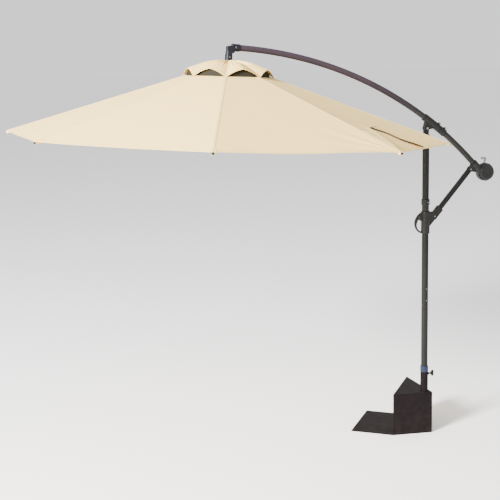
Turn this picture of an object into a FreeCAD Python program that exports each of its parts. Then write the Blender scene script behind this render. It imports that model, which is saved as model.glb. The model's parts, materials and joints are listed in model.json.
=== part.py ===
"""Cantilever parasol: octagonal canopy hung from a curved arm on a swivelling mast with a weighted base.

Millimetres. +Z is up and the ground is Z = 0. The mast's axis is the line X = Y = 0, and the arm lies
in the plane Y = 0 and carries the canopy towards -X.
"""
import FreeCAD, Part

import math
import os

from FreeCAD import Matrix, Vector

# ---------------------------------------------------------------- driving dimensions
# fits
RUN_FIT = 0.05             # radial clearance of a turning or sliding fit
SEAT_FIT = 0.05            # radial clearance of a tube seated in or on another
SIDE_FIT = 0.4             # between flat faces that turn past each other

# mast
MAST_OD = 45.0
MAST_WALL = 2.0
MAST_JOINT_Z = 967.0       # where the lower and upper tubes meet
SPIGOT_HALF = 100.0
PIVOT_Z = 2079.0           # arm pivot, on the mast's axis
PIVOT_R = 5.0
HEAD_L = 51.0              # top of the mast tube below the pivot
HEAD_PLUG_L = 40.0
TONGUE_T = 14.0
TONGUE_R = 18.0
CHEEK_T = 8.0
BOLT_HEAD_R = 9.0
BOLT_HEAD_T = 6.0

# arm, a tube bent to one radius
ARM_OD = 38.0
ARM_WALL = 2.0
ARM_R = 2619.0             # of the tube's centre line
ARM_STEEP = 36.22          # degrees of fall at the pivot
ARM_OVER_PIVOT = 51.8      # from the pivot out to the tube's centre line
ARM_END_X = 392.0          # the tube's crank end
SLEEVE_WALL = 5.5          # of the castings that clasp the arm
CLAMP_X0 = -14.0
CLAMP_X1 = 95.0
REAR_CLAMP_X0 = 96.5
REAR_CLAMP_X1 = 136.0
CLAMP_SCREW_X = 80.0
REAR_SCREW_X = 121.0
LUG_RISE = 3.0             # clamping screws above the sleeves
LUG_R = 7.0
LUG_HALF = 12.0
LUG_SCREW_R = 3.0
LUG_SCREW_HEAD_R = 5.5
LUG_SCREW_HEAD_T = 4.0

# canopy, in the hub's axes: r from the hub's axis, h along it from the apex
CANOPY_R = 1350.0          # to a rib tip, across the corners of the octagon
RIB_COUNT = 8
RIB_SLOPE = 1.0 / 3.0      # fall of a rib per unit of radius
CANOPY_TILT = 3.0          # degrees, mast side lower
HUB_REACH = 1360.0         # hub's apex from the mast's axis
HUB_DROP = 81.3            # hub's apex below the arm's centre line
FABRIC_T = 0.8
FABRIC_START_H = -5.0      # height that the fabric's underside would have at the axis
GORE_GAP = 0.6             # between neighbouring gores, half way between two ribs
MAIN_EYE_R = 190.0         # open centre of the main canopy, under the wind vent
CAP_EYE_R = 24.0           # hole of the vent cap, around the hub post
CAP_EYE_H = 2.0
CAP_GAP = 0.5              # vent cap above the main canopy, at the ribs
CAP_R = 272.0              # where the vent cap meets the ribs
CAP_MID_R = 238.0          # its scalloped edge half way between two ribs
CAP_LIFT = 26.0            # how far that edge stands up off the canopy
NET_R = 188.0
NET_EYE_R = 60.0
NET_T = 1.0

# hub
PULLEY_PITCH_R = 14.0
PULLEY_FLANGE = 3.0
PULLEY_HALF = 6.0
PULLEY_AXLE_R = 4.0
POST_R = 18.0
POST_TOP_H = 29.5
HUB_BORE_R = 6.0
HUB_TOP_H = -8.0
HUB_FOOT_H = -40.0
HUB_RIM = 14.0             # hub and runner discs beyond the circle of pins
SKIRT_TOP_H = 42.0
HEAD_EDGE_R = 7.0          # upper edge of the squared pulley fork
EAR_TOP_R = 9.0            # rounded ear beside it, over the sleeve
CORD_R = 2.0

# ribs and stretchers
RIB_W = 10.0
RIB_H = 16.0
RIB_WALL = 1.0
RIB_GAP = 1.07             # between a rib and the fabric over it
RIB_PIN_R0 = 32.0          # radius of the circle of rib pins in the top hub
RIB_PIN_R = 2.5
RIB_TIP_L = 20.0
RIB_END_H = 9.0            # the rib's height where its tip fits on
RIB_TAPER_L = 66.0         # over which it loses the rest
RIB_TIP_WALL = 2.0
STRETCHER_SHARE = 0.4607   # stretcher bracket's place along the rib
STRETCHER_OFF = 17.0       # bracket pin below the rib's centre line
STRETCHER_W = 8.0
STRETCHER_H = 12.0
RUNNER_DROP = 400.0        # runner pivots below the apex, canopy open
RUNNER_PIN_R0 = 35.0
RUNNER_RIM = 11.0
RUNNER_T = 24.0

# lift linkage
STRUT_TOP_BACK = 54.0      # strut's top pivot from the arm's crank end, along X
STRUT_TOP_UNDER = 46.0     # and inside the arm's centre line
STRUT_FOOT_OUT = 39.5      # strut's foot pivot from the mast's surface
STRUT_FOOT_DROP = 585.0    # and below the arm's pivot
STRUT_W = 32.0
STRUT_T = 14.0
STRUT_WALL = 1.5
STRUT_PIN_R = 5.0
BOOT_L = 72.0
BOOT_SEAT = 20.0           # the bar's foot in the boot, from the foot pivot
BOOT_SIDE = 9.0            # boot's cheeks beside the bar
BOOT_FACE = 4.0            # boot's wall in front of and behind the bar
FOOT_HOLE_R = 15.0         # clearance at the opened pivot
EAR_T = 6.0

# collar, its heights taken from the strut's foot pivot
COLLAR_WALL = 6.5          # with the liner
COLLAR_BELOW = 113.0
COLLAR_ABOVE = 38.0
RING_FOOT = 79.0
RING_TOP = 118.0
RING_WALL = 5.5
LINER_WALL = 1.9
LINER_NECK = 1.0

# grip lever on the collar
LEVER_OUT = 25.0           # lever's pivot from the collar's surface
LEVER_T = 12.0
LEVER_PIN_R = 3.0
LEVER_BOW = 14.0           # depth of the lever at the middle of its bow
LOCK_PIN_R = 4.0

# winch
WINCH_PAST = 66.0          # winch axis beyond the arm's crank end, along X
WINCH_OVER = 25.1          # and outside the arm's centre line
CASE_R = 60.0
COVER_R = 54.0
CASE_WALL = 4.0
CASE_BACK = 30.0           # case reaches this far to +Y of the arm's plane
CASE_SPLIT = -8.0          # joint between case and cover
COVER_FRONT = -34.0
CASE_SLEEVE_WALL = 7.0
CASE_MOUTH = 31.0          # the case's sleeve laps the tube by this much, along X
AXLE_R = 6.0
DRUM_HALF = 12.0
DRUM_FLANGE = 8.0
CRANK_L = 90.0
CRANK_LEAN = 18.0          # degrees from upright
CRANK_Y = 41.2
CRANK_T = 5.0
CRANK_W = 14.0
GRIP_L = 44.0
GRIP_R = 9.0
SPINDLE_R = 3.5

# base, laid out in its own axes: turned about the mast by BASE_TURN
BASE_TURN = -41.0
PLATE_T = 5.0
PLATE_REACH = 477.0        # plate's far edge from the mast
BOX_REACH = 183.0          # box's long wall from the mast
BOX_APEX = 57.0            # box's corner on the other side of the mast
BOX_APEX_SIDE = -3.0
BASE_LEFT = -140.0
BASE_RIGHT = 300.0
BOX_H = 288.0
BOX_WALL = 3.0
BLOCK_GAP = 2.0            # ballast block inside the box
BLOCK_HEADROOM = 20.0
SOCKET_WALL = 1.5
SOCKET_LINER_WALL = 2.0
SOCKET_TOP = 430.0
FLANGE_TOP = 469.0
LINER_FLOOR = 12.0
SCREW_Z = 410.0
SCREW_R = 4.0
SCREW_TIP_GAP = 0.6
SCREW_REACH = 26.0         # threaded shank beyond the socket tube
WING_HALF = 21.0

# ---------------------------------------------------------------- worked-out places
X_AXIS = Vector(1, 0, 0)
Y_AXIS = Vector(0, 1, 0)
Z_AXIS = Vector(0, 0, 1)
MAST_R = MAST_OD / 2
MAST_BORE_R = MAST_R - MAST_WALL
MAST_TOP_Z = PIVOT_Z - HEAD_L
ARM_TUBE_R = ARM_OD / 2
SLEEVE_R = ARM_TUBE_R + SLEEVE_WALL
SLEEVE_BORE_R = ARM_TUBE_R + SEAT_FIT
LUG_OFF = SLEEVE_R + LUG_RISE
ARM_CX = -(ARM_R - ARM_OVER_PIVOT) * math.sin(math.radians(ARM_STEEP))
ARM_CZ = PIVOT_Z - (ARM_R - ARM_OVER_PIVOT) * math.cos(math.radians(ARM_STEEP))
ARM_CENTRE = Vector(ARM_CX, 0, ARM_CZ)


def arm_z(x, off=0.0):
    """Height at x of the arm's centre line, or of the arc that lies outside it by off."""
    return ARM_CZ + math.sqrt((ARM_R + off) ** 2 - (x - ARM_CX) ** 2)


APEX_X = -HUB_REACH
APEX_Z = arm_z(APEX_X) - HUB_DROP
ELBOW_LIP_X = APEX_X + 24.0
ARM_HUB_X = APEX_X + 38.0
ELBOW_END_X = APEX_X + 70.0
STRUT_TOP_X = ARM_END_X - STRUT_TOP_BACK
STRUT_TOP_Z = arm_z(STRUT_TOP_X, -STRUT_TOP_UNDER)
STRUT_FOOT_X = MAST_R + STRUT_FOOT_OUT
STRUT_FOOT_Z = PIVOT_Z - STRUT_FOOT_DROP
WINCH_X = ARM_END_X + WINCH_PAST
WINCH_Z = arm_z(WINCH_X, WINCH_OVER)
STRUT_TOP = Vector(STRUT_TOP_X, 0, STRUT_TOP_Z)
STRUT_FOOT = Vector(STRUT_FOOT_X, 0, STRUT_FOOT_Z)
WINCH = Vector(WINCH_X, 0, WINCH_Z)
BOOT_W = STRUT_W + 2 * BOOT_SIDE
BOOT_T = STRUT_T + 2 * BOOT_FACE
COLLAR_R = MAST_R + COLLAR_WALL
COLLAR_Z0 = STRUT_FOOT_Z - COLLAR_BELOW
COLLAR_Z1 = STRUT_FOOT_Z + COLLAR_ABOVE
RING_Z0 = STRUT_FOOT_Z + RING_FOOT
RING_Z1 = STRUT_FOOT_Z + RING_TOP
RING_R = MAST_R + RING_WALL
LEVER_X = -(COLLAR_R + LEVER_OUT)
LEVER_Z = STRUT_FOOT_Z - 1.0
SOCKET_R = MAST_R + SOCKET_LINER_WALL + SOCKET_WALL
FLANGE_R = SOCKET_R + 1.5
HALF_PANEL = 180.0 / RIB_COUNT
GORE_ANGLES = [HALF_PANEL + 2 * HALF_PANEL * k for k in range(RIB_COUNT)]
RIB_ANGLE = math.degrees(math.atan(RIB_SLOPE))
RIB_DROP = RIB_H / 2 / math.cos(math.radians(RIB_ANGLE)) + RIB_GAP
RIB_PIN_H = FABRIC_START_H - RIB_PIN_R0 * RIB_SLOPE - RIB_DROP
RIB_L = (CANOPY_R - RIB_PIN_R0) / math.cos(math.radians(RIB_ANGLE))
STRETCHER_AT = STRETCHER_SHARE * RIB_L
HUB_R = RIB_PIN_R0 + HUB_RIM
RUNNER_R = RUNNER_PIN_R0 + RUNNER_RIM

parts = {}


# ---------------------------------------------------------------- shape helpers
def cylinder(start, direction, length, radius):
    return Part.makeCylinder(radius, length, start, direction)


def upright(z0, z1, radius):
    return cylinder(Vector(0, 0, z0), Z_AXIS, z1 - z0, radius)


def upright_tube(z0, z1, outer, inner):
    return upright(z0, z1, outer).cut(upright(z0 - 1, z1 + 1, inner))


def across(x, z, y0, y1, radius):
    """Cylinder along Y at (x, z)."""
    return cylinder(Vector(x, y0, z), Y_AXIS, y1 - y0, radius)


def block(x0, x1, y0, y1, z0, z1):
    return Part.makeBox(x1 - x0, y1 - y0, z1 - z0, Vector(x0, y0, z0))


def prism(points, along):
    """Solid swept from a flat closed outline of points along a vector."""
    corners = [Vector(*p) for p in points]
    return Part.Face(Part.makePolygon(corners + corners[:1])).extrude(Vector(*along))


def slab_xz(points, y0, y1):
    """Plate with the outline (x, z), from y0 to y1."""
    return prism([(x, y0, z) for x, z in points], (0, y1 - y0, 0))


def plate_xy(points, z0, z1):
    return prism([(x, y, z0) for x, y in points], (0, 0, z1 - z0))


def fused(first, *others):
    return first.fuse(list(others)).removeSplitter()


def one_solid(shape):
    """The shape as its single solid."""
    assert len(shape.Solids) == 1, "a piece came out as %d solids" % len(shape.Solids)
    return shape.Solids[0]


def turned(shape, degrees, centre, axis):
    copy = shape.copy()
    copy.rotate(centre, axis, degrees)
    return copy


def chamfered(shape, size, test):
    edges = [e for e in shape.Edges if test(e)]
    return shape.makeChamfer(size, edges) if edges else shape


def rounded(shape, size, test):
    edges = [e for e in shape.Edges if test(e)]
    return shape.makeFillet(size, edges) if edges else shape


def circle_edge_at(z, radius):
    """True for the full circle of that radius at height z."""
    def test(edge):
        curve = edge.Curve
        return (isinstance(curve, Part.Circle) and abs(curve.Center.z - z) < 0.01
                and abs(curve.Radius - radius) < 0.01)
    return test


def arm_point(x, off=0.0):
    """A point at x along the arm's centre line, moved outwards from the arc's centre by off."""
    out = (Vector(x, 0, arm_z(x)) - ARM_CENTRE).normalize()
    return Vector(x, 0, arm_z(x)) + out * off


def arm_angle(x):
    """Turn about Y from the upright radius to the radius at x, degrees."""
    return math.degrees(math.atan2(x - ARM_CX, arm_z(x) - ARM_CZ))


def arm_sweep(x0, x1, outer, inner=0.0):
    """Round bar or tube along the arm's arc from x0 to x1."""
    a0 = arm_angle(x0)
    a1 = arm_angle(x1)
    top = Vector(ARM_CX, 0, ARM_CZ + ARM_R)
    face = Part.Face(Part.Wire(Part.makeCircle(outer, top, X_AXIS)))
    if inner > 0:
        face = face.cut(Part.Face(Part.Wire(Part.makeCircle(inner, top, X_AXIS))))
    face.rotate(ARM_CENTRE, Y_AXIS, a0)
    solid = face.revolve(ARM_CENTRE, Y_AXIS, a1 - a0)
    return one_solid(solid)


def base_place(shape):
    return turned(shape, BASE_TURN, Vector(0, 0, 0), Z_AXIS)


def hub_place(shape, angle=0.0):
    """From the hub's own axes (r along X, h along Z) to its place, turned about the hub axis."""
    copy = turned(shape, angle, Vector(0, 0, 0), Z_AXIS)
    copy.rotate(Vector(0, 0, 0), Y_AXIS, CANOPY_TILT)
    copy.translate(Vector(APEX_X, 0, APEX_Z))
    return copy


def hub_point(r, h, angle=0.0):
    """Where the hub-axes point (r, h) at that angle stands."""
    turn = Matrix()
    turn.rotateZ(math.radians(angle))
    turn.rotateY(math.radians(CANOPY_TILT))
    return turn.multVec(Vector(r, 0, h)) + Vector(APEX_X, 0, APEX_Z)


def fabric_h(r):
    """Height of the canopy's underside over a rib, in the hub's axes."""
    return FABRIC_START_H - r * RIB_SLOPE


# ---------------------------------------------------------------- base
def box_outline():
    return [(-BOX_REACH, BASE_LEFT), (BOX_APEX, BOX_APEX_SIDE), (-BOX_REACH, BASE_RIGHT)]


def inset(points, distance):
    """The outline drawn in by a distance, as a face."""
    wire = Part.makePolygon([Vector(x, y, 0) for x, y in points + points[:1]])
    return Part.Face(wire).makeOffset2D(-distance, 2)


def make_base():
    plate = plate_xy([(-PLATE_REACH, BASE_LEFT)] + box_outline() + [(-PLATE_REACH, BASE_RIGHT)], 0, PLATE_T)
    parts["floor_plate"] = base_place(plate)

    box = plate_xy(box_outline(), PLATE_T, BOX_H)
    hollow = inset(box_outline(), BOX_WALL).extrude(Vector(0, 0, BOX_H - BOX_WALL))
    box = box.cut(hollow).cut(upright(0, BOX_H + 1, SOCKET_R + SEAT_FIT))
    parts["ballast_box"] = base_place(one_solid(box))

    block_h = BOX_H - BOX_WALL - BLOCK_HEADROOM - PLATE_T
    filling = inset(box_outline(), BOX_WALL + BLOCK_GAP).extrude(Vector(0, 0, block_h))
    filling.translate(Vector(0, 0, PLATE_T))
    near_mast = block(-SOCKET_R - 12.0, BOX_APEX, BASE_LEFT, BASE_RIGHT, 0, BOX_H)
    parts["ballast_block"] = base_place(one_solid(filling.cut(near_mast)))

    bore = SOCKET_R - SOCKET_WALL
    screw_hole = cylinder(Vector(0, 0, SCREW_Z), X_AXIS, SOCKET_R + 30.0, SCREW_R + RUN_FIT)
    boss = cylinder(Vector(bore, 0, SCREW_Z), X_AXIS, 10.0, SCREW_R + 5.0)
    socket = upright(PLATE_T, SOCKET_TOP, SOCKET_R).fuse(boss)
    socket = socket.cut(upright(PLATE_T - 1, SOCKET_TOP + 1, bore)).cut(screw_hole)
    parts["socket_tube"] = one_solid(socket.removeSplitter())

    liner = fused(upright(PLATE_T + 0.2, SOCKET_TOP + 1, bore - SEAT_FIT),
                  upright(SOCKET_TOP, FLANGE_TOP, FLANGE_R))
    liner = chamfered(liner, 2.0, circle_edge_at(FLANGE_TOP, FLANGE_R))
    liner = liner.cut(upright(PLATE_T + LINER_FLOOR, FLANGE_TOP + 1, MAST_R + RUN_FIT))
    parts["socket_liner"] = one_solid(liner.cut(screw_hole))

    tip = MAST_R + SCREW_TIP_GAP
    shank_end = SOCKET_R + SCREW_REACH
    shank = cylinder(Vector(tip, 0, SCREW_Z), X_AXIS, shank_end - tip, SCREW_R)
    hub = cylinder(Vector(shank_end - 6.0, 0, SCREW_Z), X_AXIS, 14.0, 2 * SCREW_R)
    wings = block(shank_end + 2.0, shank_end + 20.0, -3.0, 3.0, SCREW_Z - WING_HALF, SCREW_Z + WING_HALF)
    wings = rounded(wings, 8.0, lambda e: abs(e.tangentAt(e.FirstParameter).y) > 0.99)
    parts["wing_screw"] = one_solid(fused(shank, hub, wings))


# ---------------------------------------------------------------- mast
def make_mast():
    foot = PLATE_T + LINER_FLOOR + 0.3
    parts["mast_lower_tube"] = upright_tube(foot, MAST_JOINT_Z, MAST_R, MAST_BORE_R)
    parts["mast_upper_tube"] = upright_tube(MAST_JOINT_Z, MAST_TOP_Z, MAST_R, MAST_BORE_R)
    parts["mast_spigot"] = upright_tube(MAST_JOINT_Z - SPIGOT_HALF, MAST_JOINT_Z + SPIGOT_HALF,
                                        MAST_BORE_R - SEAT_FIT, MAST_BORE_R - 2.0)

    plug = upright(MAST_TOP_Z - HEAD_PLUG_L, MAST_TOP_Z, MAST_BORE_R - SEAT_FIT)
    cap_top = MAST_TOP_Z + 10.0
    cap = upright(MAST_TOP_Z, cap_top, MAST_R + 1.5)
    cap = chamfered(cap, 2.0, circle_edge_at(cap_top, MAST_R + 1.5))
    half = TONGUE_T / 2
    neck = block(-TONGUE_R, TONGUE_R, -half, half, cap_top - 1.0, PIVOT_Z)
    eye = across(0, PIVOT_Z, -half, half, TONGUE_R)
    head = fused(plug, cap, neck, eye)
    head = head.cut(across(0, PIVOT_Z, -half - 1, half + 1, PIVOT_R + SEAT_FIT))
    parts["mast_head"] = one_solid(head)

    side = half + SIDE_FIT + CHEEK_T + SIDE_FIT
    bolt = across(0, PIVOT_Z, -side, side + BOLT_HEAD_T + 2.0, PIVOT_R)
    bolt_head = hexagon_across(0, PIVOT_Z, -side - BOLT_HEAD_T, -side, BOLT_HEAD_R)
    nut = hexagon_across(0, PIVOT_Z, side, side + BOLT_HEAD_T, BOLT_HEAD_R)
    parts["arm_pivot_bolt"] = one_solid(fused(bolt, bolt_head, nut))


def hexagon_across(x, z, y0, y1, corner_r):
    """Hexagonal head or nut along Y."""
    corners = []
    for k in range(6):
        turn = math.radians(60 * k + 15)
        corners.append((x + corner_r * math.cos(turn), z + corner_r * math.sin(turn)))
    return slab_xz(corners, y0, y1)


# ---------------------------------------------------------------- arm and its castings
def make_arm():
    parts["arm_tube"] = arm_sweep(ARM_HUB_X, ARM_END_X, ARM_TUBE_R, ARM_TUBE_R - ARM_WALL)

    half = TONGUE_T / 2 + SIDE_FIT
    side = half + CHEEK_T
    boss_r = TONGUE_R + 1.0
    slot_r = TONGUE_R + 2.0
    boss = across(0, PIVOT_Z, -side, side, boss_r)
    left = arm_point(CLAMP_X0)
    right = arm_point(CLAMP_X0 + 66.0)
    web = slab_xz([(-0.8 * boss_r, PIVOT_Z + 0.4 * boss_r), (left.x + 6.0, left.z - 30.0),
                   (right.x, right.z), (right.x, PIVOT_Z - 4.0), (TONGUE_R, PIVOT_Z - 7.0)], -side, side)
    clamp = fused(arm_sweep(CLAMP_X0, CLAMP_X1, SLEEVE_R), boss, web, clamp_lug(CLAMP_SCREW_X))
    slot = across(0, PIVOT_Z, -half, half, slot_r)
    slot = slot.fuse(block(-slot_r, slot_r, -half, half, PIVOT_Z - 30.0, PIVOT_Z))
    clamp = clamp.cut(slot).cut(across(0, PIVOT_Z, -side - 1, side + 1, PIVOT_R + RUN_FIT))
    parts["arm_clamp"] = clamp_bored(clamp, CLAMP_X0, CLAMP_X1, CLAMP_SCREW_X)

    rear = fused(arm_sweep(REAR_CLAMP_X0, REAR_CLAMP_X1, SLEEVE_R), clamp_lug(REAR_SCREW_X))
    parts["arm_clamp_rear"] = clamp_bored(rear, REAR_CLAMP_X0, REAR_CLAMP_X1, REAR_SCREW_X)
    parts["clamp_bolts"] = Part.makeCompound([clamp_screw(CLAMP_SCREW_X), clamp_screw(REAR_SCREW_X)])


def clamp_lug(x):
    """Lug for a clamping screw, on top of a sleeve."""
    at = arm_point(x, LUG_OFF)
    return across(at.x, at.z, -LUG_HALF, LUG_HALF, LUG_R)


def clamp_bored(casting, x0, x1, screw_x):
    """The casting with its bore for the arm and the hole for its screw."""
    at = arm_point(screw_x, LUG_OFF)
    screw_hole = across(at.x, at.z, -LUG_HALF - 1, LUG_HALF + 1, LUG_SCREW_R + SEAT_FIT)
    return one_solid(casting.cut(arm_sweep(x0 - 46.0, x1 + 45.0, SLEEVE_BORE_R)).cut(screw_hole))


def clamp_screw(x):
    at = arm_point(x, LUG_OFF)
    seat = LUG_HALF + 0.5
    shank = across(at.x, at.z, -seat, seat + LUG_SCREW_HEAD_T, LUG_SCREW_R)
    head = across(at.x, at.z, -seat - LUG_SCREW_HEAD_T, -seat, LUG_SCREW_HEAD_R)
    nut = hexagon_across(at.x, at.z, seat, seat + LUG_SCREW_HEAD_T, LUG_SCREW_HEAD_R)
    return one_solid(fused(shank, head, nut))


# ---------------------------------------------------------------- collar that slides on the mast
def make_collar():
    cheek_in = BOOT_T / 2 + SIDE_FIT
    cheek_out = cheek_in + EAR_T
    foot_x = STRUT_FOOT_X
    foot_z = STRUT_FOOT_Z
    body = upright(COLLAR_Z0, COLLAR_Z1, COLLAR_R)
    body = chamfered(body, 3.0, circle_edge_at(COLLAR_Z0, COLLAR_R))
    body = chamfered(body, 2.0, circle_edge_at(COLLAR_Z1, COLLAR_R))
    cheeks = slab_xz([(0, COLLAR_Z1 - 2.0), (foot_x - 22.0, COLLAR_Z1 - 4.0), (foot_x + 12.0, foot_z + 12.0),
                      (foot_x + 12.0, foot_z - 12.0), (foot_x - 38.0, foot_z - 64.0), (0, foot_z - 70.0)],
                     -cheek_out, cheek_out)
    eye = across(foot_x, foot_z, -cheek_out, cheek_out, STRUT_PIN_R + 12.0)
    lever_in = LEVER_T / 2 + SIDE_FIT
    lever_out = lever_in + EAR_T - SIDE_FIT
    ear = slab_xz([(0, COLLAR_Z1 - 4.0), (LEVER_X + 30.0, COLLAR_Z1 - 4.0), (LEVER_X - 4.0, LEVER_Z + 10.0),
                   (LEVER_X - 10.0, LEVER_Z - 2.0), (LEVER_X + 4.0, LEVER_Z - 11.0),
                   (LEVER_X + 24.0, LEVER_Z - 30.0), (0, LEVER_Z - 30.0)], -lever_out, lever_out)
    body = fused(body, cheeks, eye, ear)
    boot_room = block(COLLAR_R + 2.0, foot_x + 40.0, -cheek_in, cheek_in, foot_z - 80.0, COLLAR_Z1 + 5.0)
    lever_room = block(LEVER_X - 40.0, -COLLAR_R - 5.0, -lever_in, lever_in, LEVER_Z - 40.0, COLLAR_Z1 + 5.0)
    tip_notch = block(-COLLAR_R - 5.0, 0, -lever_in, lever_in, COLLAR_Z0 - 1, COLLAR_Z0 + 26.0)
    body = body.cut(boot_room).cut(lever_room).cut(tip_notch)
    body = body.cut(upright(COLLAR_Z0 - 1, COLLAR_Z1 + 1, MAST_R + LINER_WALL + SEAT_FIT))
    body = body.cut(across(foot_x, foot_z, -cheek_out - 1, cheek_out + 1, STRUT_PIN_R + SEAT_FIT))
    body = body.cut(across(LEVER_X, LEVER_Z, -lever_out - 1, lever_out + 1, LEVER_PIN_R + SEAT_FIT))
    lock_hole = cylinder(Vector(LEVER_X, 0, LEVER_Z), X_AXIS, -LEVER_X, LOCK_PIN_R + RUN_FIT)
    parts["collar_body"] = one_solid(body.cut(lock_hole))

    liner = fused(upright(COLLAR_Z0, COLLAR_Z1, MAST_R + LINER_WALL),
                  upright(COLLAR_Z1, RING_Z0, MAST_R + LINER_NECK),
                  ring_head())
    liner = liner.cut(upright(COLLAR_Z0 - 1, RING_Z1 + 1, MAST_R + RUN_FIT))
    parts["collar_liner"] = one_solid(liner.cut(lock_hole))

    foot_pin = across(foot_x, foot_z, -cheek_out - 1.5, cheek_out + 1.5, STRUT_PIN_R)
    parts["strut_foot_pin"] = one_solid(foot_pin)
    lever_pin = across(LEVER_X, LEVER_Z, -lever_out - 1.5, lever_out + 1.5, LEVER_PIN_R)
    parts["lever_pin"] = one_solid(lever_pin)
    parts["grip_lever"] = make_lever()

    lock_out = COLLAR_R + 12.0
    lock_in = MAST_R + 0.4
    lock_pin = cylinder(Vector(-lock_out, 0, LEVER_Z), X_AXIS, lock_out - lock_in, LOCK_PIN_R)
    parts["lock_pin"] = one_solid(lock_pin)


def ring_head():
    """Thick ring at the top of the collar's liner."""
    ring = upright(RING_Z0, RING_Z1, RING_R)
    ring = chamfered(ring, 3.0, circle_edge_at(RING_Z0, RING_R))
    return chamfered(ring, 3.0, circle_edge_at(RING_Z1, RING_R))


def line_xz(p0, p1):
    return Part.LineSegment(Vector(p0[0], 0, p0[1]), Vector(p1[0], 0, p1[1])).toShape()


def arc_xz(p0, p1, p2):
    corners = [Vector(x, 0, z) for x, z in (p0, p1, p2)]
    return Part.Arc(*corners).toShape()


def make_lever():
    """Bow-shaped squeeze lever: hinged at its top, its tip in a notch at the foot of the collar."""
    z_tip = COLLAR_Z0 + 14.0
    outer_top = (LEVER_X - 8.0, LEVER_Z + 7.0)
    outer_mid = (LEVER_X - 27.0, LEVER_Z - 42.0)
    inner_mid = (outer_mid[0] + LEVER_BOW, outer_mid[1])
    tip_out = (-COLLAR_R - 5.0, z_tip - 10.0)
    tip_in = (-COLLAR_R - 2.0, z_tip + 2.0)
    inner_top = (LEVER_X + 6.0, LEVER_Z - 12.0)
    top_back = (LEVER_X + 8.5, LEVER_Z + 7.0)
    edges = [arc_xz(outer_top, outer_mid, tip_out),
             line_xz(tip_out, tip_in),
             arc_xz(tip_in, inner_mid, inner_top),
             line_xz(inner_top, top_back),
             line_xz(top_back, outer_top)]
    face = Part.Face(Part.Wire(edges))
    half = LEVER_T / 2
    face.translate(Vector(0, -half, 0))
    eye = across(LEVER_X, LEVER_Z, -half, half, LEVER_PIN_R + 6.0)
    lever = face.extrude(Vector(0, LEVER_T, 0)).fuse(eye)
    lever = lever.cut(across(LEVER_X, LEVER_Z, -half - 1, half + 1, LEVER_PIN_R + RUN_FIT))
    return one_solid(lever.removeSplitter())


# ---------------------------------------------------------------- strut
def make_strut():
    """Drawn upright with the foot pivot at the origin, then turned into line."""
    run = STRUT_TOP - STRUT_FOOT
    length = run.Length
    half_t = STRUT_T / 2
    half_w = STRUT_W / 2
    in_t = half_t - STRUT_WALL
    in_w = half_w - STRUT_WALL
    bar = block(-half_w, half_w, -half_t, half_t, BOOT_SEAT, length)
    bar = bar.fuse(across(0, length, -half_t, half_t, half_w))
    bar = bar.cut(block(-in_w, in_w, -in_t, in_t, BOOT_SEAT - 1, length + STRUT_W))
    bar = bar.cut(across(0, length, -half_t - 1, half_t + 1, STRUT_PIN_R + RUN_FIT)).removeSplitter()

    boot = block(-BOOT_W / 2, BOOT_W / 2, -BOOT_T / 2, BOOT_T / 2, 0, BOOT_L)
    boot = rounded(boot, 3.0, lambda e: abs(e.tangentAt(e.FirstParameter).z) > 0.99)
    boot = boot.fuse(across(0, 0, -BOOT_T / 2, BOOT_T / 2, BOOT_W / 2))
    seat_w = half_w + SEAT_FIT
    seat_t = half_t + SEAT_FIT
    boot = boot.cut(block(-seat_w, seat_w, -seat_t, seat_t, BOOT_SEAT - 0.1, BOOT_L + 1))
    boot = boot.cut(across(0, 0, -BOOT_T, BOOT_T, FOOT_HOLE_R)).removeSplitter()
    lean = math.degrees(math.atan2(run.x, run.z))
    for name, solid in (("strut_bar", bar), ("strut_boot", boot)):
        solid = turned(one_solid(solid), lean, Vector(0, 0, 0), Y_AXIS)
        solid.translate(STRUT_FOOT)
        parts[name] = solid


# ---------------------------------------------------------------- winch at the arm's end
def arm_end_direction():
    out = (arm_point(ARM_END_X) - ARM_CENTRE).normalize()
    return Vector(out.z, 0, -out.x)


def drum_pitch_radius():
    """Distance from the winch axis to the line of the cord leaving the arm."""
    to_winch = WINCH - arm_point(ARM_END_X)
    return abs(to_winch.cross(arm_end_direction()).y)


def at_winch(y0, y1, radius):
    return across(WINCH_X, WINCH_Z, y0, y1, radius)


def rim_at(y):
    """True for a circular edge centred at that y."""
    def test(edge):
        return isinstance(edge.Curve, Part.Circle) and abs(edge.Curve.Center.y - y) < 0.1
    return test


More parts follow.
